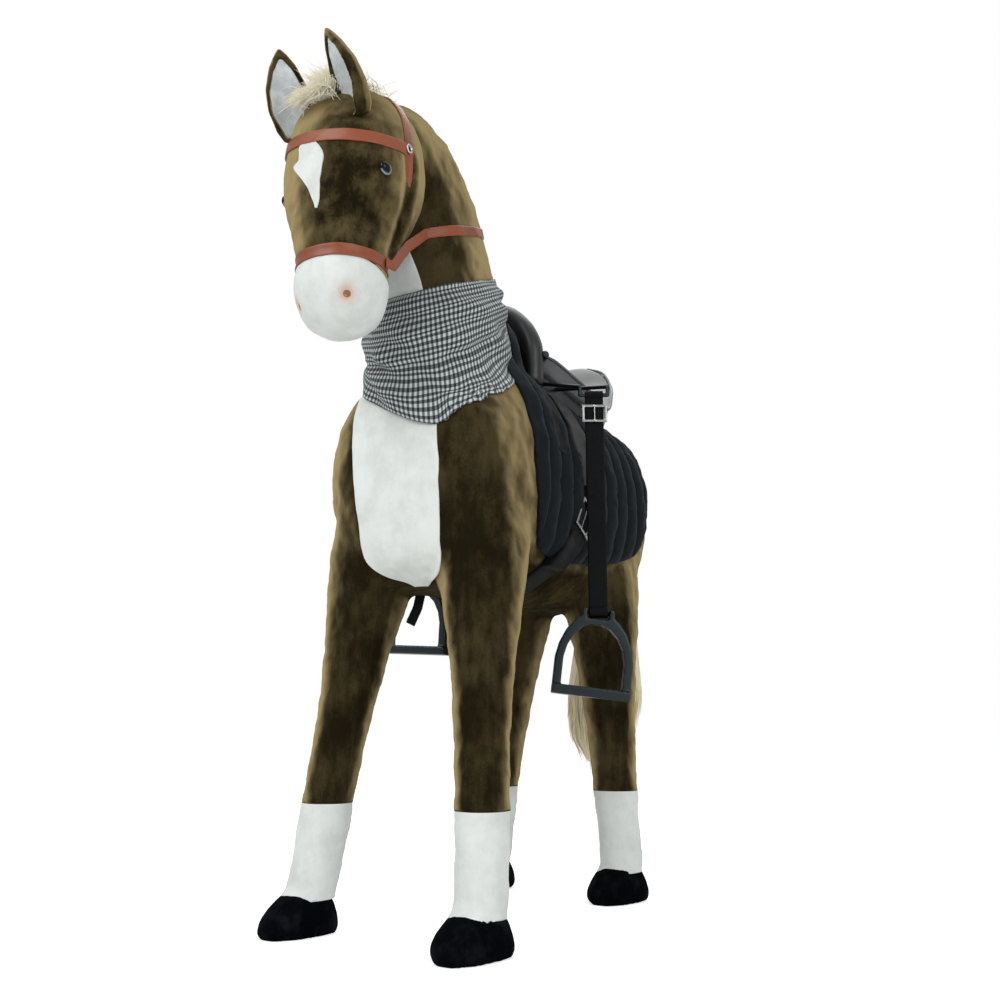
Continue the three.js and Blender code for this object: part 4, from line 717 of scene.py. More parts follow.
def bumped(tree, height, strength, distance):
    """A normal that follows a height."""
    inputs = {"Height": height, "Strength": strength, "Distance": distance}
    return add_node(tree, "Bump", inputs).outputs[0]


def object_vector(tree):
    """Coordinates fixed to the object."""
    return add_node(tree, "TexCoord").outputs["Object"]


def pile_material(name, shaded, brushed, edge=None, patch=7.0, level=0.5, blush=None):
    """Plush: brushed patches over a soft, matt pile, with a painted sheen: its colour turns paler
    where it is seen aslant, less so on top, and not at all on its undersides, which stay dark as
    painted shade.
    """
    tree, shader = new_material(name)
    vector = object_vector(tree)
    inputs = {"Shaded": rgba(shaded), "Brushed": rgba(brushed)}
    inputs.update({"Vector": vector, "Patch Scale": patch, "Patch Level": level})
    pile = add_group(tree, "Pile", inputs)
    shade = pile["Color"]
    # Painted sheen: where the pile is seen aslant, its colour is mixed towards the pale aslant
    # colour, in place of the light that velvet catches at grazing angles.
    if edge:
        aslant = add_node(tree, "LayerWeight", {"Blend": 0.5}).outputs["Facing"]
        broken = noisy(tree, vector, 8.0, 6.0, 0.65, stretch=(1, 1, 0.4))
        uneven = roughened(tree, aslant, broken, 0.8)
        normal = add_node(tree, "NewGeometry").outputs["Normal"]
        rise = add_node(tree, "SeparateXYZ", {0: normal}).outputs[2]
        # Painted shade: undersides get none of the painted sheen, so they stay dark, and tops get
        # less of it.
        not_under = ramp(tree, rise, -0.7, -0.1)
        less_on_top = maths(tree, "MULTIPLY_ADD", ramp(tree, rise, 0.2, 0.8), -0.6, 1.0)
        lit = maths(tree, "MULTIPLY", ramp(tree, uneven, 0.22, 0.75), not_under)
        shade = mixed(tree, maths(tree, "MULTIPLY", lit, less_on_top), shade, edge)
    if blush:
        mask = add_node(tree, "Attribute", attribute_name="Blush").outputs["Fac"]
        shade = mixed(tree, mask, shade, blush)
    normal = bumped(tree, pile["Height"], 0.5, 0.0014)
    set_shader(tree, shader, Base_Color=shade, Roughness=pile["Roughness"], Normal=normal)
    set_shader(tree, shader, Specular_IOR_Level=0.02)


def hair_material(name, tint, root_share):
    """Synthetic hair with a soft shine."""
    tree, shader = new_material(name)
    inputs = {"Root": rgba(scaled(tint, root_share)), "Tip": rgba(tint)}
    hair = add_group(tree, "Strands", {"Vector": object_vector(tree), **inputs})
    normal = bumped(tree, hair["Height"], 0.3, 0.0004)
    set_shader(tree, shader, Base_Color=hair["Color"], Roughness=0.55, Normal=normal)
    set_shader(tree, shader, Sheen_Weight=0.25, Specular_IOR_Level=0.3)


def leather_material(name, tint, roughness, coat, shine=0.4, scale=500.0, relief=0.25):
    """Leather with grain, scuffs and rubbed edges."""
    tree, shader = new_material(name)
    vector = object_vector(tree)
    grain = add_group(tree, "Grain", {"Vector": vector, "Scale": scale})
    wear = add_group(tree, "Wear", {"Vector": vector, "Amount": 0.6})
    shade = mixed(tree, wear["Edge"], tint, scaled(tint, 2.2, 0.02))
    patch = ramp(tree, noisy(tree, vector, 14.0, 4.0), 0.45, 0.7)
    shade = mixed(tree, patch, shade, scaled(tint, 0.72))
    rough = maths(tree, "MULTIPLY_ADD", grain["Scuffs"], 0.18, roughness)
    normal = bumped(tree, grain["Height"], relief, 0.0003)
    set_shader(tree, shader, Base_Color=shade, Roughness=rough, Normal=normal)
    set_shader(tree, shader, Coat_Weight=coat, Coat_Roughness=0.28, Specular_IOR_Level=shine)


def webbing_material(name, tint):
    """Woven strap with ribs and a slight shine."""
    tree, shader = new_material(name)
    vector = object_vector(tree)
    inputs = {"Vector": vector, "Rotation": (0.9, 0.3, 0.6)}
    turned = add_node(tree, "Mapping", inputs).outputs[0]
    weave = add_group(tree, "Weave", {"Vector": turned, "Thread": 0.0011})
    patch = ramp(tree, noisy(tree, vector, 30.0, 4.0), 0.45, 0.75)
    shade = mixed(tree, patch, tint, scaled(tint, 2.6, 0.012))
    shade = mixed(tree, maths(tree, "MULTIPLY", weave["Gaps"], 0.6), shade, (0.002,) * 3)
    normal = bumped(tree, weave["Height"], 0.5, 0.0006)
    set_shader(tree, shader, Base_Color=shade, Roughness=0.75, Normal=normal)
    set_shader(tree, shader, Sheen_Weight=0.03, Specular_IOR_Level=0.1)


def quilt_material(name, tint):
    """Brushed cloth of the pad, greyer on its raised channels."""
    tree, shader = new_material(name)
    vector = object_vector(tree)
    weave = add_group(tree, "Weave", {"Vector": vector, "Thread": 0.0009})
    wear = add_group(tree, "Wear", {"Vector": vector, "Amount": 0.35})
    lint = ramp(tree, noisy(tree, vector, 70.0, 6.0, 0.75), 0.5, 0.8)
    raised = scaled(tint, 2.4, 0.004)
    shade = mixed(tree, wear["Edge"], tint, raised)
    shade = mixed(tree, maths(tree, "MULTIPLY", lint, 0.35), shade, raised)
    normal = bumped(tree, weave["Height"], 0.3, 0.0004)
    set_shader(tree, shader, Base_Color=shade, Roughness=0.78, Normal=normal)
    set_shader(tree, shader, Sheen_Weight=0.08, Sheen_Roughness=0.4, Specular_IOR_Level=0.12)
    set_shader(tree, shader, Sheen_Tint=(0.5, 0.65, 0.7, 1))


def check_material(name, light, dark):
    """Neckerchief cotton: woven checks with a plain weave."""
    tree, shader = new_material(name)
    vector = add_node(tree, "UVMap", uv_map="Cloth").outputs["UV"]
    inputs = {"Vector": vector, "Width": sizes().check, "Light": rgba(light), "Dark": rgba(dark)}
    checks = add_group(tree, "Checks", inputs)
    weave = add_group(tree, "Weave", {"Vector": vector, "Thread": 0.0005})
    gaps = maths(tree, "MULTIPLY", weave["Gaps"], 0.25)
    shade = mixed(tree, gaps, checks["Color"], (0.12,) * 3)
    normal = bumped(tree, weave["Height"], 0.35, 0.0003)
    set_shader(tree, shader, Base_Color=shade, Roughness=0.85, Normal=normal)
    set_shader(tree, shader, Sheen_Weight=0.1, Specular_IOR_Level=0.2)


def metal_material(name, tint, roughness, metallic=1.0):
    """Metal with a fine cast or drawn surface, rubbed edges and darker hollows."""
    tree, shader = new_material(name)
    vector = object_vector(tree)
    wear = add_group(tree, "Wear", {"Vector": vector, "Amount": 0.7})
    shade = mixed(tree, wear["Edge"], tint, scaled(tint, 2.0, 0.05))
    # Darker in the hollows that the Wear group's mask finds.
    hollow_darkening = maths(tree, "MULTIPLY", wear["Hollow"], 0.5)
    shade = mixed(tree, hollow_darkening, shade, scaled(tint, 0.5))
    fine = noisy(tree, vector, 300.0, 4.0)
    rough = maths(tree, "MULTIPLY_ADD", fine, 0.2, roughness - 0.1)
    normal = bumped(tree, fine, 0.12, 0.0004)
    set_shader(tree, shader, Base_Color=shade, Roughness=rough, Normal=normal, Metallic=metallic)


class HORSE_OT_finishes(bpy.types.Operator):
    """Builds the node groups and materials of every piece"""

    bl_idname = "horse.finishes"
    bl_label = "Finishes"

    def execute(self, context):
        for name, inputs, outputs, fill in GROUPS:
            new_group(name, {"Vector": "Vector", **inputs}, outputs, fill)
        paint = colours()
        dark, light, edge = paint.pile_dark, paint.pile_light, paint.pile_sheen_painted
        white, black, pink = paint.white_pile, paint.hoof_pile, paint.nostril
        # edge is the pale colour of the painted sheen on the brown pile.
        pile_material("Brown plush", dark, light, edge)
        pile_material("Brown face plush", dark, scaled(light, 1.5), edge, patch=22.0)
        pile_material("White plush", scaled(white, 0.87), white, patch=22.0, level=0.4, blush=pink)
        pile_material("Black plush", black, scaled(black, 4, 0.004), patch=25.0, level=0.6)
        pile_material("Nostril plush", scaled(pink, 0.4), pink, patch=80.0)
        pile_material("Ear cloth", scaled(paint.ear_cloth, 0.72), paint.ear_cloth, patch=45.0)
        hair_material("Forelock hair", paint.forelock, 0.88)
        hair_material("Tail hair", paint.tail, 0.8)
        leather_material("Bridle strap", paint.bridle, 0.42, 0.25, scale=700.0)
        leather_material("Saddle leather", paint.leather, 0.32, 0.4)
        leather_material("Flap leather", paint.leather, 0.42, 0.12, shine=0.2)
        # The seat's colour carries part of a painted reflection.
        leather_material("Saddle top leather", paint.seat, 0.36, 1.0, relief=0.12)
        strap = scaled(paint.leather, 0.6)
        leather_material("Stirrup leather", strap, 0.55, 0.02, shine=0.1, scale=260.0, relief=0.9)
        webbing_material("Webbing", paint.webbing)
        quilt_material("Quilted cloth", paint.quilt)
        check_material("Gingham", paint.check_light, paint.check_dark)
        metal_material("Blackened iron", paint.iron, 0.32, 0.85)
        metal_material("Bright steel", paint.steel, 0.26)
        metal_material("Frame steel", (0.3, 0.31, 0.32), 0.5)
        metal_material("Eye rim", (0.13, 0.16, 0.175), 0.25, 0.0)
        tree, shader = new_material("Eye plastic")
        tint = rgba([c / 3 for c in paint.eye])
        set_shader(tree, shader, Base_Color=tint, Roughness=0.06, Specular_IOR_Level=0.25)
        return {"FINISHED"}


# Plush body

BODY_VOXEL = 0.006
HEAD_VOXEL = 0.004
BODY_ROUNDS = 24
HEAD_ROUNDS = 26
HOOF_ROUNDS = 10
HOOF_PILE_SHARE = 0.8
HOOF_LUMPS = 0.0008
SEAM_DROP = 0.006  # of the socks' and hooves' seams below the tops of their solids
PANEL_SUNK = 0.0012  # in the pile
PANEL_EDGE = 0.0012
PANEL_COLUMNS = 24
PANEL_ROWS = 40
# Height, left edge and right edge, as shares of the panel node's box
CHEST_ROW_SHARES = (
    (0.004, 0.5, 0.64),
    (0.023, 0.435, 0.813),
    (0.045, 0.285, 0.903),
    (0.076, 0.166, 0.948),
    (0.116, 0.09, 0.967),
    (0.172, 0.063, 0.986),
    (0.287, 0.068, 1.009),
    (0.405, 0.059, 1.03),
    (0.525, 0.035, 1.044),
    (0.653, 0.003, 1.019),
    (0.808, -0.05, 0.974),
    (0.99, -0.065, 0.935),
)
THROAT_ROW_SHARES = ((0, 0, 1), (0.3, 0.12, 0.88), (0.6, 0.2, 0.8), (0.85, 0.3, 0.7), (1, 0.4, 0.6))
BLAZE_ROW_SHARES = (
    (-0.02, 0.69, 0.75),
    (0.071, 0.654, 0.817),
    (0.162, 0.59, 0.85),
    (0.283, 0.511, 0.876),
    (0.384, 0.387, 0.878),
    (0.475, 0.27, 0.915),
    (0.566, 0.128, 0.93),
    (0.657, 0, 0.96),
    (0.735, -0.06, 0.972),
    (0.785, 0.12, 0.952),
    (0.87, 0.15, 0.887),
    (0.99, 0.12, 0.72),
    (1.07, 0.2, 0.57),
)


def panel(name, node, shares, skin, start):
    """A white panel sewn flush on the pile of a piece, found by rays along Y from start."""
    tree = tree_over(skin)
    a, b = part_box(node)
    size = b - a
    rows = [(a.z + h * size.z, a.x + l * size.x, a.x + r * size.x) for h, l, r in shares]
    points = smooth_path(rows, PANEL_ROWS + 1)

    def place(s, t):
        height, left, right = between(points, t)
        origin = Vector((left + (right - left) * s, start, height))
        return landing(tree, origin, Y) + Y * PANEL_SUNK

    bm = face_outwards(grid(PANEL_COLUMNS, PANEL_ROWS, place), lambda f: -Y)
    obj = piece(name, bm, "White plush", "white_plush", replaces=[node])
    return thicken(obj, sizes().pile, bevel=PANEL_EDGE)


class HORSE_OT_body(bpy.types.Operator):
    """Builds the plush trunk, neck and legs, the socks, and the white chest and throat"""

    bl_idname = "horse.body"
    bl_label = "Body Plush"

    def execute(self, context):
        size = sizes()
        legs, socks, hooves = ([leg + part for leg in LEGS] for part in ("_leg", "_sock", "_hoof"))
        nodes = ["torso", "neck", *legs, *socks, *hooves, *FRAME_TUBES]
        form = smooth_form(nodes, BODY_VOXEL, BODY_ROUNDS, size.pile, size.lumps)
        feet = form.copy()
        sock_top = Z * (high(socks[0]).z - SEAM_DROP)
        cut_plane(form, sock_top, Z, above=True)
        cut_plane(feet, sock_top, Z, above=False)
        cut_plane(feet, Z * (high(hooves[0]).z - SEAM_DROP), Z, above=True)
        replaced = ["torso", "neck", *legs]
        body = piece("body_plush", form, "Brown plush", "brown_plush", replaces=replaced)
        feet_piece = piece("socks", feet, "White plush", "white_plush", replaces=socks)
        panel("chest_white", "chest_panel", CHEST_ROW_SHARES, "body_plush", low("head").y)
        behind_chin = high("muzzle").y + 0.02
        panel("throat_white", "throat_panel", THROAT_ROW_SHARES, "body_plush", behind_chin)
        return {"FINISHED"}


class HORSE_OT_hooves(bpy.types.Operator):
    """Builds the four black plush hooves"""

    bl_idname = "horse.hooves"
    bl_label = "Hooves"

    def execute(self, context):
        grow = sizes().pile * HOOF_PILE_SHARE
        for leg in LEGS:
            node = leg + "_hoof"
            form = smooth_form([node], HEAD_VOXEL, HOOF_ROUNDS, grow, HOOF_LUMPS)
            for v in form.verts:
                v.co.z = max(v.co.z, 0.0)
            obj = piece(node + "_plush", form, "Black plush", "black_plush", replaces=[node])
        return {"FINISHED"}


# Plush head

NOSEBAND_DROP = 0.003
CHEEK_LEAN = 0.085  # of the cheek straps, back as they fall
SEAM_SLOPE = 0.26  # the seam of the muzzle falls towards the jaw
SEAM_BEHIND_NOSEBAND = 0.035
SEAM_ABOVE_NOSEBAND = 0.003
STRAP_PULL = 0.0035
STRAP_PULL_REACH = 0.013
NOSTRIL_APART = 0.092
NOSTRIL_HEIGHT_SHARE = 0.406  # up the muzzle
NOSTRIL_RADIUS = 0.012
NOSTRIL_DEPTH = 0.006
NOSTRIL_BLUSH = 0.7
NOSTRIL_DISC_SHARES = (0.8, 0.62)
NOSTRIL_DISC_THICKNESS = 0.002
CHEEK_FULL = 0.0035
CHEEK_REACH = 0.05
CHEEK_HALF = 0.04  # across from the middle, where the fullness is whole
CHEEK_START = 0.03  # under the snap, where the strap has sunk in
CHEEK_FOOT = 0.01
CHEEK_FOOT_FADE = 0.02
GROOVE = 0.006  # under the cheek strap
GROOVE_REACH = 0.009
RIDGE = 0.004  # of the plush behind it
RIDGE_BEHIND = 0.022
RIDGE_REACH = 0.012


def clamped(value):
    """A value held between 0 and 1."""
    return min(max(value, 0), 1)


def hill(gap):
    """A smooth hill: 1 in its middle, and falling with the gap to it."""
    return math.exp(-gap * gap)


class HORSE_OT_head(bpy.types.Operator):
    """Builds the plush head, the white muzzle with its nostrils, and the blaze"""

    bl_idname = "horse.head"
    bl_label = "Head Plush"

    def execute(self, context):
        size = sizes()
        nodes = ["head", "muzzle", "left_eye", "right_eye"]
        form = smooth_form(nodes, HEAD_VOXEL, HEAD_ROUNDS, size.pile, size.lumps * 0.5)
        self.fill_cheeks(form)
        self.draw_in(form, centre("noseband").z - NOSEBAND_DROP)
        nostrils = self.press_nostrils(form)
        seam = low("noseband")
        seam_z = seam.z + SEAM_ABOVE_NOSEBAND - NOSEBAND_DROP
        seam = Vector((0, seam.y + SEAM_BEHIND_NOSEBAND, seam_z))
        tilted = Vector((0, SEAM_SLOPE, 1))
        nose = form.copy()
        cut_plane(form, seam, tilted, above=True)
        cut_plane(nose, seam, tilted, above=False)
        head = piece("head_plush", form, "Brown face plush", "brown_plush", replaces=["head"])
        muzzle = piece("muzzle_plush", nose, "White plush", "white_plush", replaces=["muzzle"])
        panel("blaze_white", "blaze", BLAZE_ROW_SHARES, "head_plush", low("muzzle").y - 0.3)
        for name, at, out in nostrils:
            self.add_nostril(name, at, out)
        return {"FINISHED"}

    def fill_cheeks(self, bm):
        """Fills the cheeks, and draws the plush in under the cheek straps below the snaps."""
        strap_y = centre("headpiece").y
        snap_z = centre("left_bridle_snap").z
        eye_z = centre("left_eye").z
        foot_z = high("noseband").z
        for v in bm.verts:
            x, y, z = v.co
            side = math.copysign(min(1, abs(x - MIDDLE) / CHEEK_HALF), x - MIDDLE)
            along = clamped((snap_z - z) / CHEEK_START)
            along *= clamped((z - foot_z + CHEEK_FOOT) / CHEEK_FOOT_FADE)
            behind = y - strap_y - CHEEK_LEAN * (snap_z - z)
            groove = GROOVE * hill(behind / GROOVE_REACH)
            ridge = RIDGE * hill((behind - RIDGE_BEHIND) / RIDGE_REACH)
            full = CHEEK_FULL * hill((z - eye_z) / CHEEK_REACH)
            v.co.x += side * (full + along * (ridge - groove))

    def draw_in(self, bm, z):
        """Draws the plush in under the noseband."""
        bm.normal_update()
        pull = {v: STRAP_PULL * hill((v.co.z - z) / STRAP_PULL_REACH) for v in bm.verts}
        moves = {v: v.normal * -amount for v, amount in pull.items()}
        for v, move in moves.items():
            v.co += move

    def press_nostrils(self, bm):
        """Draws the skin in at each nostril, blushes it and gives the middle and normal of each."""
        tree = BVHTree.FromBMesh(bm)
        blush = bm.verts.layers.float.new("Blush")
        a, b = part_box("muzzle")
        z = a.z + NOSTRIL_HEIGHT_SHARE * (b.z - a.z)
        found = []
        for side, name in SIDES:
            start = Vector((MIDDLE + side * NOSTRIL_APART / 2, a.y - 0.1, z))
            at = landing(tree, start, Y)
            out = tree.find_nearest(at)[1]
            for v in bm.verts:
                gap = (v.co - at).length / NOSTRIL_RADIUS
                if gap < 3:
                    v.co -= out * NOSTRIL_DEPTH * math.exp(-gap * gap * 1.6)
                    v[blush] = max(v[blush], NOSTRIL_BLUSH * math.exp(-gap * gap * 0.9))
            found.append((name, at - out * NOSTRIL_DEPTH, out))
        return found

    def add_nostril(self, name, at, out):
        """A small sewn disc of darker plush in a nostril's dimple."""
        bm = bmesh.new()
        bmesh.ops.create_uvsphere(bm, u_segments=20, v_segments=12, radius=1)
        wide, tall = (NOSTRIL_RADIUS * share for share in NOSTRIL_DISC_SHARES)
        placed(bm, facing(at, out) @ Matrix.Diagonal((wide, tall, NOSTRIL_DISC_THICKNESS, 1)))
        piece(name + "_nostril", bm, "Nostril plush", "white_plush")


# Voxel, rounds of smoothing, growth, and the lumps with their size
EAR_SHAPE = (0.0016, 10, 0.0009, 0.0004, 0.02)
LINING_SHAPE = (0.0011, 8, 0.0006)


class HORSE_OT_ears(bpy.types.Operator):
    """Builds the plush ears and their cloth linings"""

    bl_idname = "horse.ears"
    bl_label = "Ears"

    def execute(self, context):
        for node in ("left_ear", "right_ear"):
            ear = formed(node + "_plush", node, EAR_SHAPE, "Brown face plush", "brown_plush")
            formed(node + "_cloth", node + "_lining", LINING_SHAPE, "Ear cloth", "ear_cloth")
        return {"FINISHED"}


EYE_TURN = math.radians(14)
EYE_RADIUS = 0.0082
EYE_DROP = 0.005
PUPIL_SHIFT = Vector((0, -0.0018, 0.001))
PUPIL_SHARE = 1.06
EYE_DOME = 0.0056
EYE_ANGLES = [math.radians(a) for a in range(0, 121, 10)]
EYE_RIM_WIDTH = 0.0021
EYE_RIM_HEIGHT = 0.0022
EYE_RIM_SHARES = ((-0.6, 0.1), (-0.5, 0.8), (0, 1), (0.6, 0.7), (0.8, -0.3))


class HORSE_OT_eyes(bpy.types.Operator):
    """Builds the glossy domed eyes"""

    bl_idname = "horse.eyes"
    bl_label = "Eyes"

    def execute(self, context):
        tree = tree_over("head_plush")
        pupil = EYE_RADIUS * PUPIL_SHARE
        for side, name in SIDES:
            node = name + "_eye"
            out = Vector((side * math.cos(EYE_TURN), -math.sin(EYE_TURN), 0))
            turn = facing(landing(tree, centre(node) - Z * EYE_DROP + out * 0.2, -out), out)
            dome = spun([(pupil * math.sin(a), EYE_DOME * math.cos(a)) for a in EYE_ANGLES])
            bmesh.ops.translate(placed(dome, turn), vec=PUPIL_SHIFT, verts=dome.verts)
            piece(node + "_dome", dome, "Eye plastic", "eye_plastic", replaces=[node])
            rim = [(EYE_RADIUS + u * EYE_RIM_WIDTH, v * EYE_RIM_HEIGHT) for u, v in EYE_RIM_SHARES]
            piece(node + "_ring", placed(spun(rim), turn), "Eye rim", "eye_plastic")
        return {"FINISHED"}


# Hair

LOCK_STEPS = (0, 0.2, 0.4, 0.6, 0.8, 1)
LOCK_FALL = 0.6
LOCK_CURL = 0.1
LOCK_ROOM = 0.001  # over the plush
LOCK_ROOT = 0.003  # in the plush
FORELOCK_RADII = (0.0005, 0.0011)
FORELOCK_SHAPE = (0.0025, 4, 0.001)
MANE_RADII = (0.0012, 0.0026)
MANE_SHAPE = (0.003, 4, 0.001)
MANE_STEPS = 7
MANE_LEAN = 0.016
MANE_FLUFF = (0.0004, 0.006)
TAIL_RADII = (0.0016, 0.0036)
TAIL_SHAPE = (0.004, 6, 0.001)
TAIL_STEPS = 9
TAIL_LEVELS = 24
TAIL_TURN = 0.25
TAIL_LIFT = 0.0008
TAIL_FLARE = 0.011  # of the lowest locks
TAIL_FOOT_SHARE = 0.985  # where the locks run on below the base
DOCK_RADIUS = 0.024  # of the round root that keeps the tail on the rump as it lifts
DOCK_DEPTH = 0.004
DOCK_REACH = Vector((0, 0.01, -0.024))


def drawn(spread, value):
    """A fixed value, or one drawn about a (middle, deviation) or evenly from a [start, end]."""
    if isinstance(value, tuple):
        return spread.gauss(*value)
    return spread.uniform(*value) if isinstance(value, list) else value


def hair(node, base, locks, finish, body=HORSE):
    """Tapering locks of hair over a combed base, in one piece: a lock is its points and radius."""
    lines = []
    for points, radius in locks:
        last = len(points) - 1
        taper = [radius * math.sin(math.pi * (0.25 + 0.72 * i / last)) for i in range(last + 1)]
        lines.append(list(zip(points, taper)))
    strung(node + "_hair", lines, 1.0, 0, finish, "cream_hair", body, [node], base)


class HORSE_OT_hair(bpy.types.Operator):
    """Builds the forelock, the mane and the tail as locks of hair"""

    bl_idname = "horse.hair"
    bl_label = "Hair"

    def execute(self, context):
        spread = random.Random(7)
        self.forelock(spread)
        self.mane(spread)
        self.tail(spread)
        return {"FINISHED"}

    def forelock(self, spread):
        """A fluffy tuft between the ears that falls over the forehead, and wisps behind them."""
        tree = tree_over("head_plush", "body_plush")
        a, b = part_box("forelock")
        depth = b.y - a.y
        # The fringe, the crown and the wisps: up to which share of the locks, the root across
        # and behind the front, the way it starts, how it bends, and its length
        fringe_way, fringe_bend = ((-0.05, 0.3), -0.5, [0.5, 1]), ((-0.05, 0.3), -0.25, -1.8)
        crown_way = ((-0.05, 0.3), (-0.15, 0.3), 1.3)
        crown_bend = ((-0.1, 0.35), (-0.3, 0.35), -0.45)
        wisp_way, wisp_bend = ((0.25, 0.4), (0.1, 0.35), 0.9), ((0.3, 0.4), (-0.1, 0.35), -0.6)
        kinds = (
            (0.5, (0.0, 0.011), [0.0, 0.03], fringe_way, fringe_bend, [0.034, 0.058]),
            (0.8, (0.003, 0.012), [0.006, 0.05], crown_way, crown_bend, [0.026, 0.052]),
            (1.0, (0.014, 0.018), [0.03, depth + 0.014], wisp_way, wisp_bend, [0.02, 0.04]),
        )
        locks = []
        for _ in range(sizes().forelock_locks):
            share = spread.random()
            kind = next(kind for kind in kinds if share < kind[0])
            x = MIDDLE + drawn(spread, kind[1])
            y = a.y + drawn(spread, kind[2])
            way, bend = (Vector([drawn(spread, part) for part in kind[i]]) for i in (3, 4))
            size = drawn(spread, kind[5])
            way.normalize()
            root = landing(tree, Vector((x, y, b.z + 0.2)), -Z) - Z * LOCK_ROOT
            curl = Vector([spread.gauss(0, LOCK_CURL) for _ in range(3)])
            points = []
            for t in LOCK_STEPS:
                at = root + (way * t + bend * t * t * LOCK_FALL + curl * math.sin(5 * t)) * size
                points.append(hug(at, tree, LOCK_ROOM) if t else at)
            locks.append((points, spread.uniform(*FORELOCK_RADII)))
        hair("forelock", smooth_form(["forelock"], *FORELOCK_SHAPE), locks, "Forelock hair")

    def mane(self, spread):
        """The mane falls to the right from the crest."""
        a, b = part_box("mane")
        base = smooth_form(["mane"], *MANE_SHAPE)
        tree = BVHTree.FromBMesh(base)
        locks = []
        for _ in range(sizes().mane_locks):
            y = spread.uniform(a.y + 0.004, b.y - 0.004)
            start = spread.uniform(0, 0.5)
            drop = spread.uniform(0.35, 0.6)
            lean = spread.gauss(0, MANE_LEAN)
            fluff = spread.uniform(*MANE_FLUFF)
            points = []
            for i in range(MANE_STEPS + 1):
                t = start + drop * i / MANE_STEPS
                level = Vector((a.x - 0.1, y + lean * i / MANE_STEPS, b.z + (a.z - b.z) * t))
                at = tree.ray_cast(level, X, 0.4)[0]
                if at is not None:
                    points.append(at - X * (0.0003 + fluff * (i / MANE_STEPS) ** 1.5))
            if len(points) > 3:
                locks.append((points, spread.uniform(*MANE_RADII)))
        hair("mane", base, locks, "Forelock hair")

    def tail(self, spread):
        """The tail hangs from the dock and spreads out."""
        a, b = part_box("tail")
        height = b.z - a.z
        base = smooth_form(["tail"], *TAIL_SHAPE)
        tree = BVHTree.FromBMesh(base)
        middles = []
        for i in range(TAIL_LEVELS + 1):
            z = a.z + height * i / TAIL_LEVELS
            near = [v.co for v in base.verts if abs(v.co.z - z) < height / TAIL_LEVELS]
            middles.append(sum(near, Vector()) / len(near))
        locks = []
        for _ in range(sizes().tail_locks):
            angle = spread.uniform(0, math.tau)
            start = spread.uniform(-0.02, 0.6)
            drop = spread.uniform(0.3, 0.46)
            turn = spread.gauss(0, TAIL_TURN)
            flare = spread.uniform(TAIL_LIFT, TAIL_FLARE) if start > 0.35 else TAIL_LIFT
            points = []
            for i in range(TAIL_STEPS + 1):
                t = min(max(start + drop * i / TAIL_STEPS, 0.005), 1.03)
                z = b.z + (a.z - b.z) * min(t, TAIL_FOOT_SHARE)
                middle = between(middles, (z - a.z) / height)
                middle.z = z
                way = angle + turn * i / TAIL_STEPS
                out = Vector((math.cos(way), math.sin(way), 0))
                at = tree.ray_cast(middle + out * 0.3, -out, 0.3)[0]
                if at is not None:
                    spill = Z * height * min(0, TAIL_FOOT_SHARE - t)
                    points.append(at + out * flare * (i / TAIL_STEPS) ** 2 + spill)
            if len(points) > 4:
                locks.append((points, spread.uniform(*TAIL_RADII)))
        for share in (0, 0.5, 1):
            at = Vector((MIDDLE, a.y + DOCK_DEPTH, b.z)) + share * DOCK_REACH
            root = Matrix.Translation(at)
            bmesh.ops.create_icosphere(base, subdivisions=4, radius=DOCK_RADIUS, matrix=root)
        hair("tail", base, locks, "Tail hair", "tail")


# Bridle

BROWBAND_TILT = math.radians(-7)
BROWBAND_ROLL = 0.15
BROWBAND_RISE = 0.006
BROWBAND_LIFT = 0.0004
CHEEK_STRAP_LIFT = 0.0002
CHEEK_STRAP_SWEEP = 310
CHEEK_STRAP_END = Vector((0.46, 0, -1))
STRAP_SUNK = 0.0045
STRAP_EDGE = 0.0006
SNAP_DROP = 0.0115  # of the left snap, and the rise of the right one
SNAP_RING = ((0.0042, 0), (0.0047, 0.0018), (0.006, 0.0024), (0.0071, 0.0015), (0.0073, -0.0008))
SNAP_CAP = ((0, 0.0012), (0.0026, 0.001), (0.0042, 0.0002), (0.0044, -0.0008))
REINS_VOXEL = 0.0011
REINS_ROUNDS = 12
REINS_GROW = 0.0004


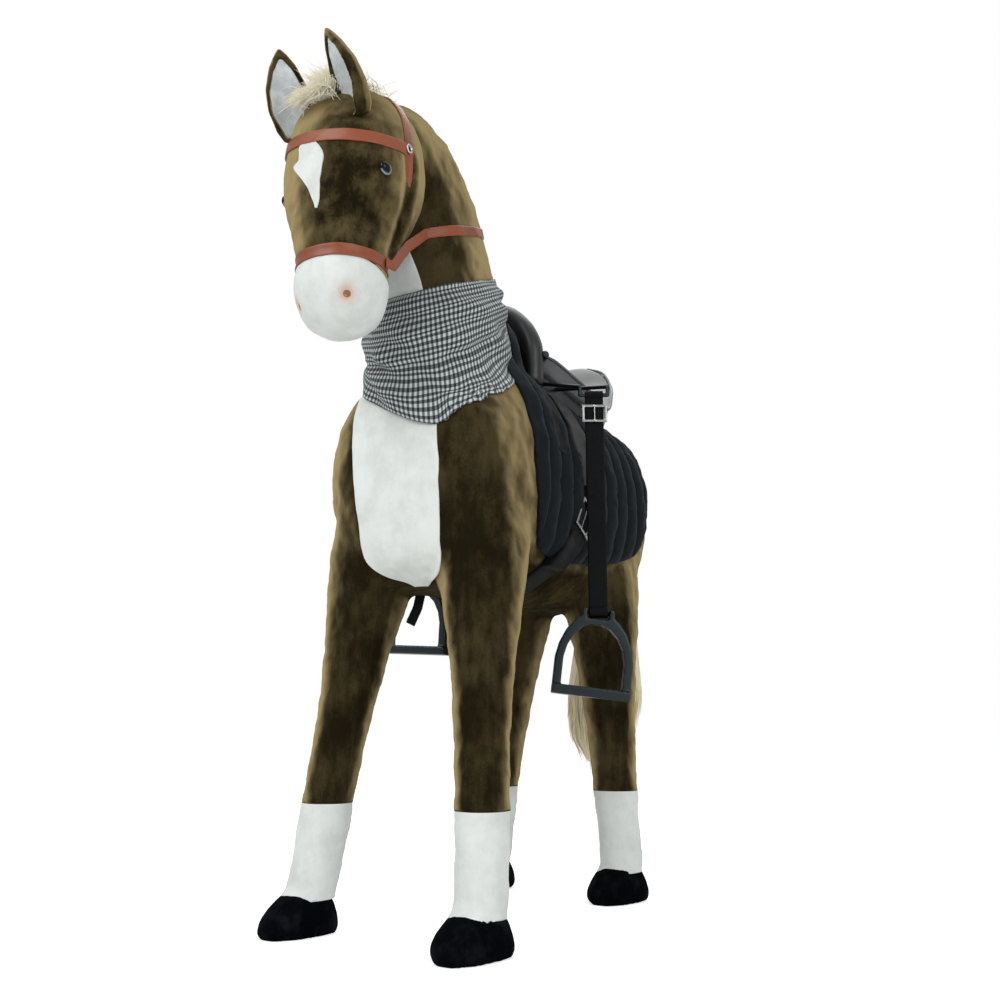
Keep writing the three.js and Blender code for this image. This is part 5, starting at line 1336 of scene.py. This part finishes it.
class HORSE_OT_bridle(bpy.types.Operator):
    """Builds the bridle's straps with their snaps, and the reins"""

    bl_idname = "horse.bridle"
    bl_label = "Bridle"

    def strap(self, node, bm):
        """Turns a band into a strap that stands for its node."""
        obj = piece(node + "_strap", bm, "Bridle strap", "brown_leather", replaces=[node])
        return thicken(obj, sizes().strap, bevel=STRAP_EDGE)

    def execute(self, context):
        tree = tree_over("head_plush", "muzzle_plush")
        width = high("noseband").z - low("noseband").z
        nose, cheek, brow = (centre(node) for node in ("noseband", "headpiece", "browband"))
        nose.x = cheek.x = brow.x = MIDDLE
        nose.z -= NOSEBAND_DROP
        self.strap("noseband", band(tree, nose, Z, X, 360, width))
        snap_z = centre("left_bridle_snap").z
        level = cheek + Y * CHEEK_LEAN * (snap_z - cheek.z)
        leaning = Vector((0, -1, -CHEEK_LEAN))

        def sunk(at, t):
            from_front = t if at.x > MIDDLE else 1 - t
            return STRAP_SUNK * clamped((snap_z - 0.03 - at.z) / 0.055 + from_front * 0.35)

        sweep = CHEEK_STRAP_SWEEP
        cheek_strap = band(
            tree, level, leaning, CHEEK_STRAP_END, sweep, width, lift=CHEEK_STRAP_LIFT, sunk=sunk
        )
        self.strap("headpiece", cheek_strap)
        brow.y = high("browband").y
        brow.z += BROWBAND_RISE
        tilted = Vector((BROWBAND_ROLL, math.sin(BROWBAND_TILT), math.cos(BROWBAND_TILT)))
        self.strap("browband", band(tree, brow, tilted, X, -180, width, lift=BROWBAND_LIFT))
        self.snaps(tree, cheek)
        reins = skinned(cad_copy("reins"), REINS_VOXEL)
        reseat(reins, tree_over("neck"), tree_over("body_plush"))
        relax(reins, REINS_ROUNDS)
        swell(reins, REINS_GROW)
        piece("reins_strap", reins, "Bridle strap", "brown_leather", replaces=["reins"])
        return {"FINISHED"}

    def snaps(self, tree, cheek):
        """Snaps where the browband meets the cheek straps: a bright ring round a dark middle."""
        for side, name in SIDES:
            node = name + "_bridle_snap"
            out = X * side
            start = Vector((MIDDLE, cheek.y, centre(node).z - side * SNAP_DROP)) + out * 0.4
            at = landing(tree, start, -out) + out * sizes().strap * 1.3
            ring, cap = (placed(spun(rows), facing(at, out)) for rows in (SNAP_RING, SNAP_CAP))
            piece(node + "_ring", ring, "Bright steel", "bright_steel", replaces=[node])
            piece(node + "_cap", cap, "Blackened iron", "bright_steel")


# Neckerchief: rings from its lower edge to its upper edge, as in the solid under it

BACK_HEIGHT = 0.862
SCARF_SIZE = Vector((0.224, 0.226, 0.16))
SCARF_Y_FROM_CHEST = 0.105
SCARF_BELOW_BACK = 0.024
SCARF_FOLD = 0.005
SCARF_WAVES = 5
SCARF_CREASE = 0.0028
SCARF_CREASES = 11
SCARF_CREASE_TURN = 16
SCARF_CRUMPLE = 0.004
SCARF_ROOM = 0.0025  # over the plush
SCARF_UV_SHARE = 1.05
SCARF_COLUMNS = 240
SCARF_ROWS = 56
# Each ring: up the height, half width, half depth, shift along X, lean along Y, lean along X,
# fold, turn of the folds, squareness of the left side
SCARF_RING_SHARES = (
    (0, 0.97, 0.92, 0.04, 0.8, -0.4, 1, 0, 1.25),
    (0.03, 1.05, 1, 0.037, 0.8, -0.4, 1, 0.02, 1.25),
    (0.2, 1.04, 1.01, 0.028, 0.76, -0.3, 0.9, 0.1, 1.2),
    (0.36, 0.98, 0.97, 0.015, 0.7, -0.17, 0.5, 0.2, 1.15),
    (0.42, 0.94, 0.93, 0, 0.68, -0.1, 0.3, 0.26, 1.2),
    (0.48, 1.02, 0.99, 0, 0.66, -0.08, 0.5, 0.3, 1.1),
    (0.64, 1.01, 1.01, 0, 0.6, -0.02, 0.7, 0.42, 1),
    (0.82, 0.93, 0.98, 0, 0.54, 0, 0.5, 0.56, 1),
    (0.96, 0.8, 0.92, 0, 0.48, 0, 0.3, 0.66, 1),
    (1, 0.7, 0.84, 0, 0.46, 0, 0.2, 0.7, 1),
)


def ring_at(share):
    """The neckerchief's ring at a share of its height, between its listed rings."""
    for before, after in zip(SCARF_RING_SHARES, SCARF_RING_SHARES[1:]):
        if share <= after[0]:
            t = (share - before[0]) / (after[0] - before[0])
            t = t * t * (3 - 2 * t) * 0.5 + t * 0.5
            return [p + (q - p) * t for p, q in zip(before, after)]
    return list(SCARF_RING_SHARES[-1])


def bent(value, power):
    """A cosine or sine drawn towards a square."""
    return math.copysign(abs(value) ** (2 / power), value)


class HORSE_OT_neckerchief(bpy.types.Operator):
    """Builds the checked neckerchief round the neck"""

    bl_idname = "horse.neckerchief"
    bl_label = "Neckerchief"

    def execute(self, context):
        neck = tree_over("body_plush")
        middle_y = SCARF_Y_FROM_CHEST + low("torso").y

        def place(s, t):
            up, half, deep, shift, lean_y, lean_x, fold, turn, square = ring_at(t)
            angle = math.tau * s
            cos, sin = math.cos(angle), math.sin(angle)
            ripple = SCARF_FOLD * fold * math.sin(SCARF_WAVES * (angle + math.tau * turn))
            crease = math.sin(SCARF_CREASES * angle + SCARF_CREASE_TURN * t)
            creases = SCARF_CREASE * crease * math.sin(math.pi * t)
            creases += SCARF_CRUMPLE * noise.noise(Vector((3 * cos, 3 * sin, 7 * t)))
            grow = ripple + creases
            power = 2 * square if cos > 0 else 2
            x = (half * SCARF_SIZE.x / 2 + grow) * bent(cos, power)
            y = (deep * SCARF_SIZE.y / 2 + grow) * bent(sin, power)
            z = BACK_HEIGHT - SCARF_BELOW_BACK + up * SCARF_SIZE.z + lean_y * y + lean_x * x
            at = Vector((MIDDLE + shift * SCARF_SIZE.x + x, middle_y + y, z))
            return hug(at, neck, SCARF_ROOM)

        bm = grid(SCARF_COLUMNS, SCARF_ROWS, place, closed=True)
        uv = bm.loops.layers.uv["Cloth"]
        for face in bm.faces:
            for loop in face.loops:
                loop[uv].uv.y *= SCARF_SIZE.z * SCARF_UV_SHARE
        axis = Vector((MIDDLE, middle_y, BACK_HEIGHT))
        face_outwards(bm, lambda f: f.calc_center_median() - axis)
        area = sum(f.calc_area() for f in bm.faces)
        obj = piece("neckerchief_cloth", bm, "Gingham", "gingham", replaces=["neckerchief"])
        thicken(obj, sizes().cloth, offset=-1.0)
        return {"FINISHED"}


# Saddle pad

PAD_FRONT = 0.148  # behind the chest
PAD_LENGTH = 0.468
PAD_ABOVE_BELLY = 0.065
PAD_TOP_CLEAR = 0.15
PAD_UNDER = 6  # degrees past its lower edge
PAD_ROOM = 0.0006
PAD_COLUMNS = 12  # in each channel
PAD_ROWS = 150
PAD_EDGE_MARKS = 16
PAD_EDGE_REACH = 0.02
PAD_PUCKERS = ((0.0011, 55), (0.0008, 140))
PAD_EDGE_SHARES = (
    (0, 0.2),
    (-0.025, 0.5),
    (-0.02, 0.7),
    (0.08, 0.84),
    (0.25, 1),
    (0.98, 1),
    (1, 0.62),
    (0.965, 0.3),
    (0.9, 0.13),
    (0.8, 0.06),
    (0.5, 0),
    (0.2, -0.01),
    (0.06, 0.02),
)


def pad_outline():
    """The pad's outline on a flank, as a closed smooth loop of (y, z)."""
    first = low("torso").y + PAD_FRONT
    bottom = low("torso").z + PAD_ABOVE_BELLY
    height = BACK_HEIGHT + PAD_TOP_CLEAR - bottom
    corners = [Vector((0, first + u * PAD_LENGTH, bottom + v * height)) for u, v in PAD_EDGE_SHARES]
    for _ in range(2):
        pairs = list(zip(corners, corners[1:] + corners[:1]))
        corners = [p.lerp(q, share) for p, q in pairs for share in (0.25, 0.75)]
    return corners


class HORSE_OT_saddle_pad(bpy.types.Operator):
    """Builds the quilted pad with its sewn channels and its closed edge, thinner at the rim"""

    bl_idname = "horse.saddle_pad"
    bl_label = "Saddle Pad"

    def execute(self, context):
        size = sizes()
        tree = tree_over("body_plush")
        outline = pad_outline()
        sides = list(zip(outline, outline[1:] + outline[:1]))
        first = min(p.y for p in outline)
        last = max(p.y for p in outline)
        bottom = min(p.z for p in outline)
        a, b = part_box("torso")
        axis_z = (a.z + b.z) / 2
        drop = math.degrees(math.atan2(axis_z - bottom, (b.x - a.x) / 2)) + PAD_UNDER

        def place(s, t):
            angle = math.radians(-drop + (180 + 2 * drop) * t)
            out = X * math.cos(angle) + Z * math.sin(angle)
            axis = Vector((MIDDLE, first + (last - first) * s, axis_z))
            return landing(tree, axis + out, -out) + out * PAD_ROOM

        bm = grid(size.channels * PAD_COLUMNS, PAD_ROWS, place)
        face_outwards(bm, lambda f: f.calc_center_median() - Vector((MIDDLE, 0, axis_z)))
        for p, q in sides:
            out = Vector((0, p.z - q.z, q.y - p.y))
            bmesh.ops.bisect_plane(
                bm, geom=everything(bm), plane_co=p, plane_no=out, clear_outer=True
            )
        if not bm.faces:
            raise RuntimeError("the pad's outline cuts it all away")
        rim = rims(bm)
        bm.normal_update()
        shares = [i / PAD_EDGE_MARKS for i in range(PAD_EDGE_MARKS)]
        marks = [p.lerp(q, share) for p, q in sides for share in shares]
        edge = KDTree(len(marks))
        for i, mark in enumerate(marks):
            edge.insert(mark, i)
        edge.balance()
        moves = {}
        for v in bm.verts:
            share = (v.co.y - first) / (last - first)
            wave = abs(math.sin(math.pi * share * size.channels)) ** 0.55
            near = edge.find((0, v.co.y, v.co.z))[2]
            hold = min(1, near / PAD_EDGE_REACH) ** 0.6
            pucker = sum(rise * noise.noise(v.co * fine) for rise, fine in PAD_PUCKERS)
            moves[v] = v.normal * (size.seam + (size.pad - size.seam) * wave * hold + pucker)
        under = bmesh.ops.duplicate(bm, geom=bm.faces[:])
        inner = [g for g in under["geom"] if isinstance(g, bmesh.types.BMFace)]
        bmesh.ops.reverse_faces(bm, faces=inner)
        for v, move in moves.items():
            v.co += move
        inner_rim = {e for f in inner for e in f.edges if e.is_boundary}
        bmesh.ops.bridge_loops(bm, edges=rim + list(inner_rim))
        bmesh.ops.recalc_face_normals(bm, faces=bm.faces)
        replaced = ["saddle_pad"]
        pad = piece("saddle_pad_quilt", bm, "Quilted cloth", "quilted_cloth", replaces=replaced)
        carve(pad, self.scarf_room())
        return {"FINISHED"}

    def scarf_room(self):
        """A closed form a little larger than the neckerchief."""
        cloth = bmesh.new()
        cloth.from_mesh(bpy.data.objects["neckerchief_cloth"].data)
        bmesh.ops.holes_fill(cloth, edges=rims(cloth), sides=0)
        room = skinned(cloth, 0.005)
        relax(room, 4)
        swell(room, 0.003)
        return room


# Saddle

SEAT_BASE = BACK_HEIGHT - 0.022
SEAT_RISE = 0.168
SEAT_TUCK_SHARE = 0.93
SEAT_STATIONS = 60
SEAT_COLUMNS = 56
SEAT_SQUARE = 3.2
SEAT_EDGE_FALL = 0.035
# Along the seat, half width, then the heights of the edge, the middle and the underside
SEAT_SHARES = (
    (0, 0.77, 0.5, 0.64, 0.32),
    (0.07, 0.8, 0.49, 0.6, 0.3),
    (0.23, 0.84, 0.43, 0.48, 0.25),
    (0.46, 0.945, 0.285, 0.4, 0.13),
    (0.6, 1, 0.18, 0.4, 0.03),
    (0.76, 0.915, 0.45, 0.5, 0),
    (0.88, 0.78, 0.65, 0.67, 0),
    (0.95, 0.6, 0.86, 0.88, 0),
    (1, 0.345, 0.97, 1, 0.05),
)
PIPING_RADIUS = 0.0026
PIPING_DROP_SHARE = 0.02
POMMEL_RADIUS = 0.019
# Across from the middle and up the pommel's arch, from its foot to its top
POMMEL_SHARES = ((1, 0), (1, 0.3), (0.97, 0.5), (0.78, 0.75), (0.5, 0.93), (0.2, 1))
POMMEL_STEPS = 70
KNOB_RADIUS = 0.0075
KNOB_OUT = 0.108
KNOB_HEIGHT = 0.925
# Voxel, rounds of smoothing and growth
WEB_SHAPE = (0.003, 8, 0.0)
PANEL_SHAPE = (0.004, 5, 0.0016)
FLAP_SHAPE = (0.0016, 22, 0.0006)
BILLET_SHAPE = (0.0011, 8, 0.0)


def smooth_rows(rows, number):
    """Rows of numbers through given rows, evenly along their first number."""
    found = []
    for i in range(number + 1):
        share = i / number
        k = max(j for j in range(len(rows) - 1) if rows[j][0] <= share or j == 0)
        ends = [rows[max(k - 1, 0)], rows[k], rows[k + 1], rows[min(k + 2, len(rows) - 1)]]
        span = ends[2][0] - ends[1][0]
        t = (share - ends[1][0]) / span
        row = [share]
        for before, first, last, after in zip(*(end[1:] for end in ends)):
            slope_in = (last - before) / max(ends[2][0] - ends[0][0], 1e-6) * span
            slope_out = (after - first) / max(ends[3][0] - ends[1][0], 1e-6) * span
            h = (2 * t**3 - 3 * t**2 + 1, t**3 - 2 * t**2 + t, -2 * t**3 + 3 * t**2, t**3 - t**2)
            row.append(h[0] * first + h[1] * slope_in + h[2] * last + h[3] * slope_out)
        found.append(row)
    return found


class HORSE_OT_saddle(bpy.types.Operator):
    """Builds the saddle's seat, pommel roll, panel and flaps"""

    bl_idname = "horse.saddle"
    bl_label = "Saddle"

    def execute(self, context):
        self.seat()
        self.pommel()
        formed("panel_leather", "saddle_panel", PANEL_SHAPE, "Saddle leather", "black_leather")
        for _, side in SIDES:
            flap, billet = side + "_flap", side + "_billet"
            formed(flap + "_leather", flap, FLAP_SHAPE, "Flap leather", "black_leather")
            formed(billet + "_strap", billet, BILLET_SHAPE, "Webbing", "black_webbing")
        return {"FINISHED"}

    def seat(self):
        """The seat as one smooth form from pommel to cantle, with piping along its edge."""
        stations = smooth_rows(SEAT_SHARES, SEAT_STATIONS)
        front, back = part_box("saddle_seat")
        reach = back.y - front.y
        half_width = (back.x - front.x) / 2

        def place(s, t):
            along, half, edge, middle, under = stations[round(t * SEAT_STATIONS)]
            turn = s % 1 * math.tau
            across = bent(math.cos(turn), SEAT_SQUARE)
            if math.sin(turn) >= 0:
                crown = (middle - edge) * (1 - abs(across) ** 2.4)
                up = edge + crown - SEAT_EDGE_FALL * abs(across) ** 9
            else:
                across *= SEAT_TUCK_SHARE
                up = under + (edge - under) * abs(across / SEAT_TUCK_SHARE) ** 12 * 0.5
            x = MIDDLE + across * half * half_width
            return Vector((x, front.y + along * reach, SEAT_BASE + up * SEAT_RISE))

        bm = grid(SEAT_COLUMNS, SEAT_STATIONS, place, closed=True)
        bmesh.ops.holes_fill(bm, edges=rims(bm), sides=0)
        relax(bm, 2)
        bmesh.ops.recalc_face_normals(bm, faces=bm.faces)
        leather = ("Saddle top leather", "black_leather")
        piece("seat_leather", bm, *leather, replaces=["saddle_seat"])
        edge = []
        for side, _ in SIDES:
            for along, half, edge_up, _, _ in stations[::side]:
                x = MIDDLE + side * half * half_width
                z = SEAT_BASE + (edge_up - PIPING_DROP_SHARE) * SEAT_RISE
                edge.append((Vector((x, front.y + along * reach, z)), 1))
        strung("seat_piping", [edge], PIPING_RADIUS, 3, *leather)

    def pommel(self):
        """The pommel's arched roll over its web, with a knob at each foot."""
        web = smooth_form(["pommel_roll"], *WEB_SHAPE)
        foot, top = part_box("pommel_roll")
        reach = Vector((top.x - MIDDLE - POMMEL_RADIUS, 0, top.z - foot.z - POMMEL_RADIUS))
        points = []
        for side, _ in SIDES:
            for across, up in POMMEL_SHARES[::side]:
                x = MIDDLE + side * across * reach.x
                points.append(Vector((x, centre("pommel_roll").y, foot.z + up * reach.z)))
        line = [(at, 1) for at in smooth_path(points, POMMEL_STEPS)]
        leather = ("Saddle leather", "black_leather")
        strung(
            "pommel_leather", [line], POMMEL_RADIUS, 3, *leather, replaces=["pommel_roll"], base=web
        )
        for side, name in SIDES:
            bm = bmesh.new()
            bmesh.ops.create_uvsphere(bm, u_segments=20, v_segments=14, radius=KNOB_RADIUS)
            at = Vector((MIDDLE + side * KNOB_OUT, low("saddle_seat").y - 0.002, KNOB_HEIGHT))
            bmesh.ops.translate(bm, vec=at, verts=bm.verts)
            piece(name + "_pommel_knob", bm, "Blackened iron", "black_iron")


# Girth and stirrups

# Voxel, rounds of smoothing and growth
GIRTH_SHAPE = (0.0022, 4, 0.0006)
GIRTH_BUCKLE_SHAPE = (0.0007, 4, 0.0)
HANGER_SHAPE = (0.0012, 4, 0.0)
LEATHER_SHAPE = (0.0014, 3, 0.0)
LEATHER_END_SHAPE = (0.0012, 4, 0.0002)
LEATHER_BUCKLE_SHAPE = (0.0007, 4, 0.0002)
IRON_SHAPE = (0.0014, 6, 0.0002)
IRON = ("Blackened iron", "black_iron")
STEEL = ("Bright steel", "bright_steel")
STIRRUP_LEATHER = ("Stirrup leather", "black_leather")


class HORSE_OT_girth(bpy.types.Operator):
    """Builds the girth under the belly with its buckles"""

    bl_idname = "horse.girth"
    bl_label = "Girth"

    def execute(self, context):
        formed("girth_strap", "girth", GIRTH_SHAPE, "Webbing", "black_webbing")
        for _, side in SIDES:
            node = side + "_girth_buckle"
            formed(node + "_wire", node, GIRTH_BUCKLE_SHAPE, *STEEL)
        return {"FINISHED"}


class HORSE_OT_stirrups(bpy.types.Operator):
    """Builds the stirrup leathers, their buckles, the hangers and the irons"""

    bl_idname = "horse.stirrups"
    bl_label = "Stirrups"

    def execute(self, context):
        parts = []
        for _, side in SIDES:
            body = side + "_leather"
            parts += (
                (side + "_stirrup_hanger", HANGER_SHAPE, *IRON, HORSE),
                (side + "_stirrup_leather", LEATHER_SHAPE, *STIRRUP_LEATHER, body),
                (side + "_leather_buckle", LEATHER_BUCKLE_SHAPE, *STEEL, body),
                (side + "_stirrup_iron", IRON_SHAPE, *IRON, side + "_iron"),
            )
        parts.append(("right_leather_end", LEATHER_END_SHAPE, *STIRRUP_LEATHER, "right_leather"))
        for node, *rest in parts:
            formed(node + "_shape", node, *rest)
        return {"FINISHED"}


class HORSE_OT_frame(bpy.types.Operator):
    """Gives the hidden steel frame its finish"""

    bl_idname = "horse.frame"
    bl_label = "Steel Frame"

    def execute(self, context):
        for name in FRAME_TUBES:
            mesh = frame["nodes"][name].data
            mesh.materials.clear()
            mesh.materials.append(bpy.data.materials["Frame steel"])
        return {"FINISHED"}


# Studio

CAMERA_PLACE = Vector((0.9044, -1.452, 0.2991))
CAMERA_TURN = math.radians(31)
CAMERA_RISE = math.radians(12.43)
CAMERA_LENS = 36.0
SENSOR = 36.0
CAMERA_END = 60
FLOOR_HALF = 14
FLOOR_GLOW = 0.6
WORLD_STRENGTH = 0.55
LAMP_AIM = Vector((0, 0, 0.75))
# Name, place, diameter and power
LAMPS = (
    ("Key", (-0.6, -3.0, 2.9), 2.4, 56.0),
    ("Fill", (3.2, -1.6, 1.6), 2.4, 30.0),
    ("Top", (-0.5, 0.7, 3.4), 3.4, 40.0),
    ("Back", (-1.6, 3.0, 2.2), 2.0, 26.0),
)
WHITE = (1, 1, 1, 1)


class HORSE_OT_studio(bpy.types.Operator):
    """Builds the pale floor, the lamps, the world and the camera"""

    bl_idname = "horse.studio"
    bl_label = "Studio"

    def execute(self, context):
        scene = context.scene
        scene.view_settings.view_transform = "Standard"
        self.camera(scene)
        self.floor()
        self.world(scene)
        for name, place, size, power in LAMPS:
            self.lamp(name, Vector(place), size, power)
        return {"FINISHED"}

    def camera(self, scene):
        """The camera stands low, before the horse's left shoulder."""
        data = bpy.data.cameras.new("Camera")
        data.lens = CAMERA_LENS
        data.sensor_width = SENSOR
        data.clip_end = CAMERA_END
        obj = linked("Camera", data)
        obj.location = CAMERA_PLACE
        obj.rotation_euler = (math.pi / 2 + CAMERA_RISE, 0, CAMERA_TURN)
        scene.camera = obj

    def floor(self):
        """A pale floor that glows a little towards the camera."""
        bm = bmesh.new()
        bmesh.ops.create_grid(bm, x_segments=2, y_segments=2, size=FLOOR_HALF)
        obj = linked("floor", mesh_of("floor", bm))
        tree, shader = new_material("Studio floor")
        obj.data.materials.append(bpy.data.materials["Studio floor"])
        tint = rgba(colours().floor)
        set_shader(tree, shader, Base_Color=tint, Roughness=0.9, Specular_IOR_Level=0.1)
        path = add_node(tree, "LightPath")
        seen = maths(tree, "MULTIPLY", path.outputs["Is Camera Ray"], FLOOR_GLOW)
        glow = add_node(tree, "Emission", {"Color": WHITE, "Strength": seen})
        both = add_node(tree, "AddShader", {0: shader.outputs[0], 1: glow.outputs[0]})
        output = next(n for n in tree.nodes if n.type == "OUTPUT_MATERIAL")
        feed(tree, output, {0: both.outputs[0]})

    def world(self, scene):
        """A soft even light, seen as plain white."""
        world = bpy.data.worlds.new("Studio world")
        scene.world = world
        world.use_nodes = True
        tree = world.node_tree
        tree.nodes.clear()
        seen = add_node(tree, "LightPath").outputs["Is Camera Ray"]
        light, white = (
            add_node(tree, "Background", {"Color": WHITE, "Strength": strength}).outputs[0]
            for strength in (WORLD_STRENGTH, 1.0)
        )
        mix = add_node(tree, "MixShader", {0: seen, 1: light, 2: white})
        add_node(tree, "OutputWorld", {0: mix.outputs[0]})

    def lamp(self, name, place, size, power):
        """A round lamp that is aimed at the horse."""
        data = bpy.data.lights.new(name, "AREA")
        data.shape = "DISK"
        data.size = size
        data.energy = power
        obj = linked(name, data)
        obj.location = place
        obj.rotation_euler = (LAMP_AIM - place).to_track_quat("-Z", "Y").to_euler()


OPERATORS = (
    HORSE_OT_finishes,
    HORSE_OT_body,
    HORSE_OT_hooves,
    HORSE_OT_head,
    HORSE_OT_ears,
    HORSE_OT_eyes,
    HORSE_OT_hair,
    HORSE_OT_bridle,
    HORSE_OT_neckerchief,
    HORSE_OT_saddle_pad,
    HORSE_OT_saddle,
    HORSE_OT_girth,
    HORSE_OT_stirrups,
    HORSE_OT_frame,
    HORSE_OT_studio,
)


class HORSE_PT_panel(bpy.types.Panel):
    """Lists the horse's operators and settings"""

    bl_idname = "HORSE_PT_panel"
    bl_label = "Plush Riding Horse"
    bl_space_type = "VIEW_3D"
    bl_region_type = "UI"
    bl_category = "Horse"

    def draw(self, context):
        layout = self.layout
        for operator in OPERATORS:
            layout.operator(operator.bl_idname)
        for settings in (context.scene.horse_sizes, context.scene.horse_colours):
            column = layout.column()
            for name in settings.__annotations__:
                column.prop(settings, name)


CLASSES = (HorseColours, HorseSizes, *OPERATORS, HORSE_PT_panel)


def register():
    """Registers the classes and adds their settings to the scene."""
    for cls in CLASSES:
        bpy.utils.register_class(cls)
    bpy.types.Scene.horse_colours = PointerProperty(type=HorseColours)
    bpy.types.Scene.horse_sizes = PointerProperty(type=HorseSizes)


def unregister():
    """Takes the settings and the classes away again."""
    del bpy.types.Scene.horse_sizes
    del bpy.types.Scene.horse_colours
    for cls in reversed(CLASSES):
        bpy.utils.unregister_class(cls)


def main():
    """Runs every operator in order."""
    register()
    for operator in OPERATORS:
        group, name = operator.bl_idname.split(".")
        getattr(getattr(bpy.ops, group), name)()


if __name__ == "__main__":
    main()
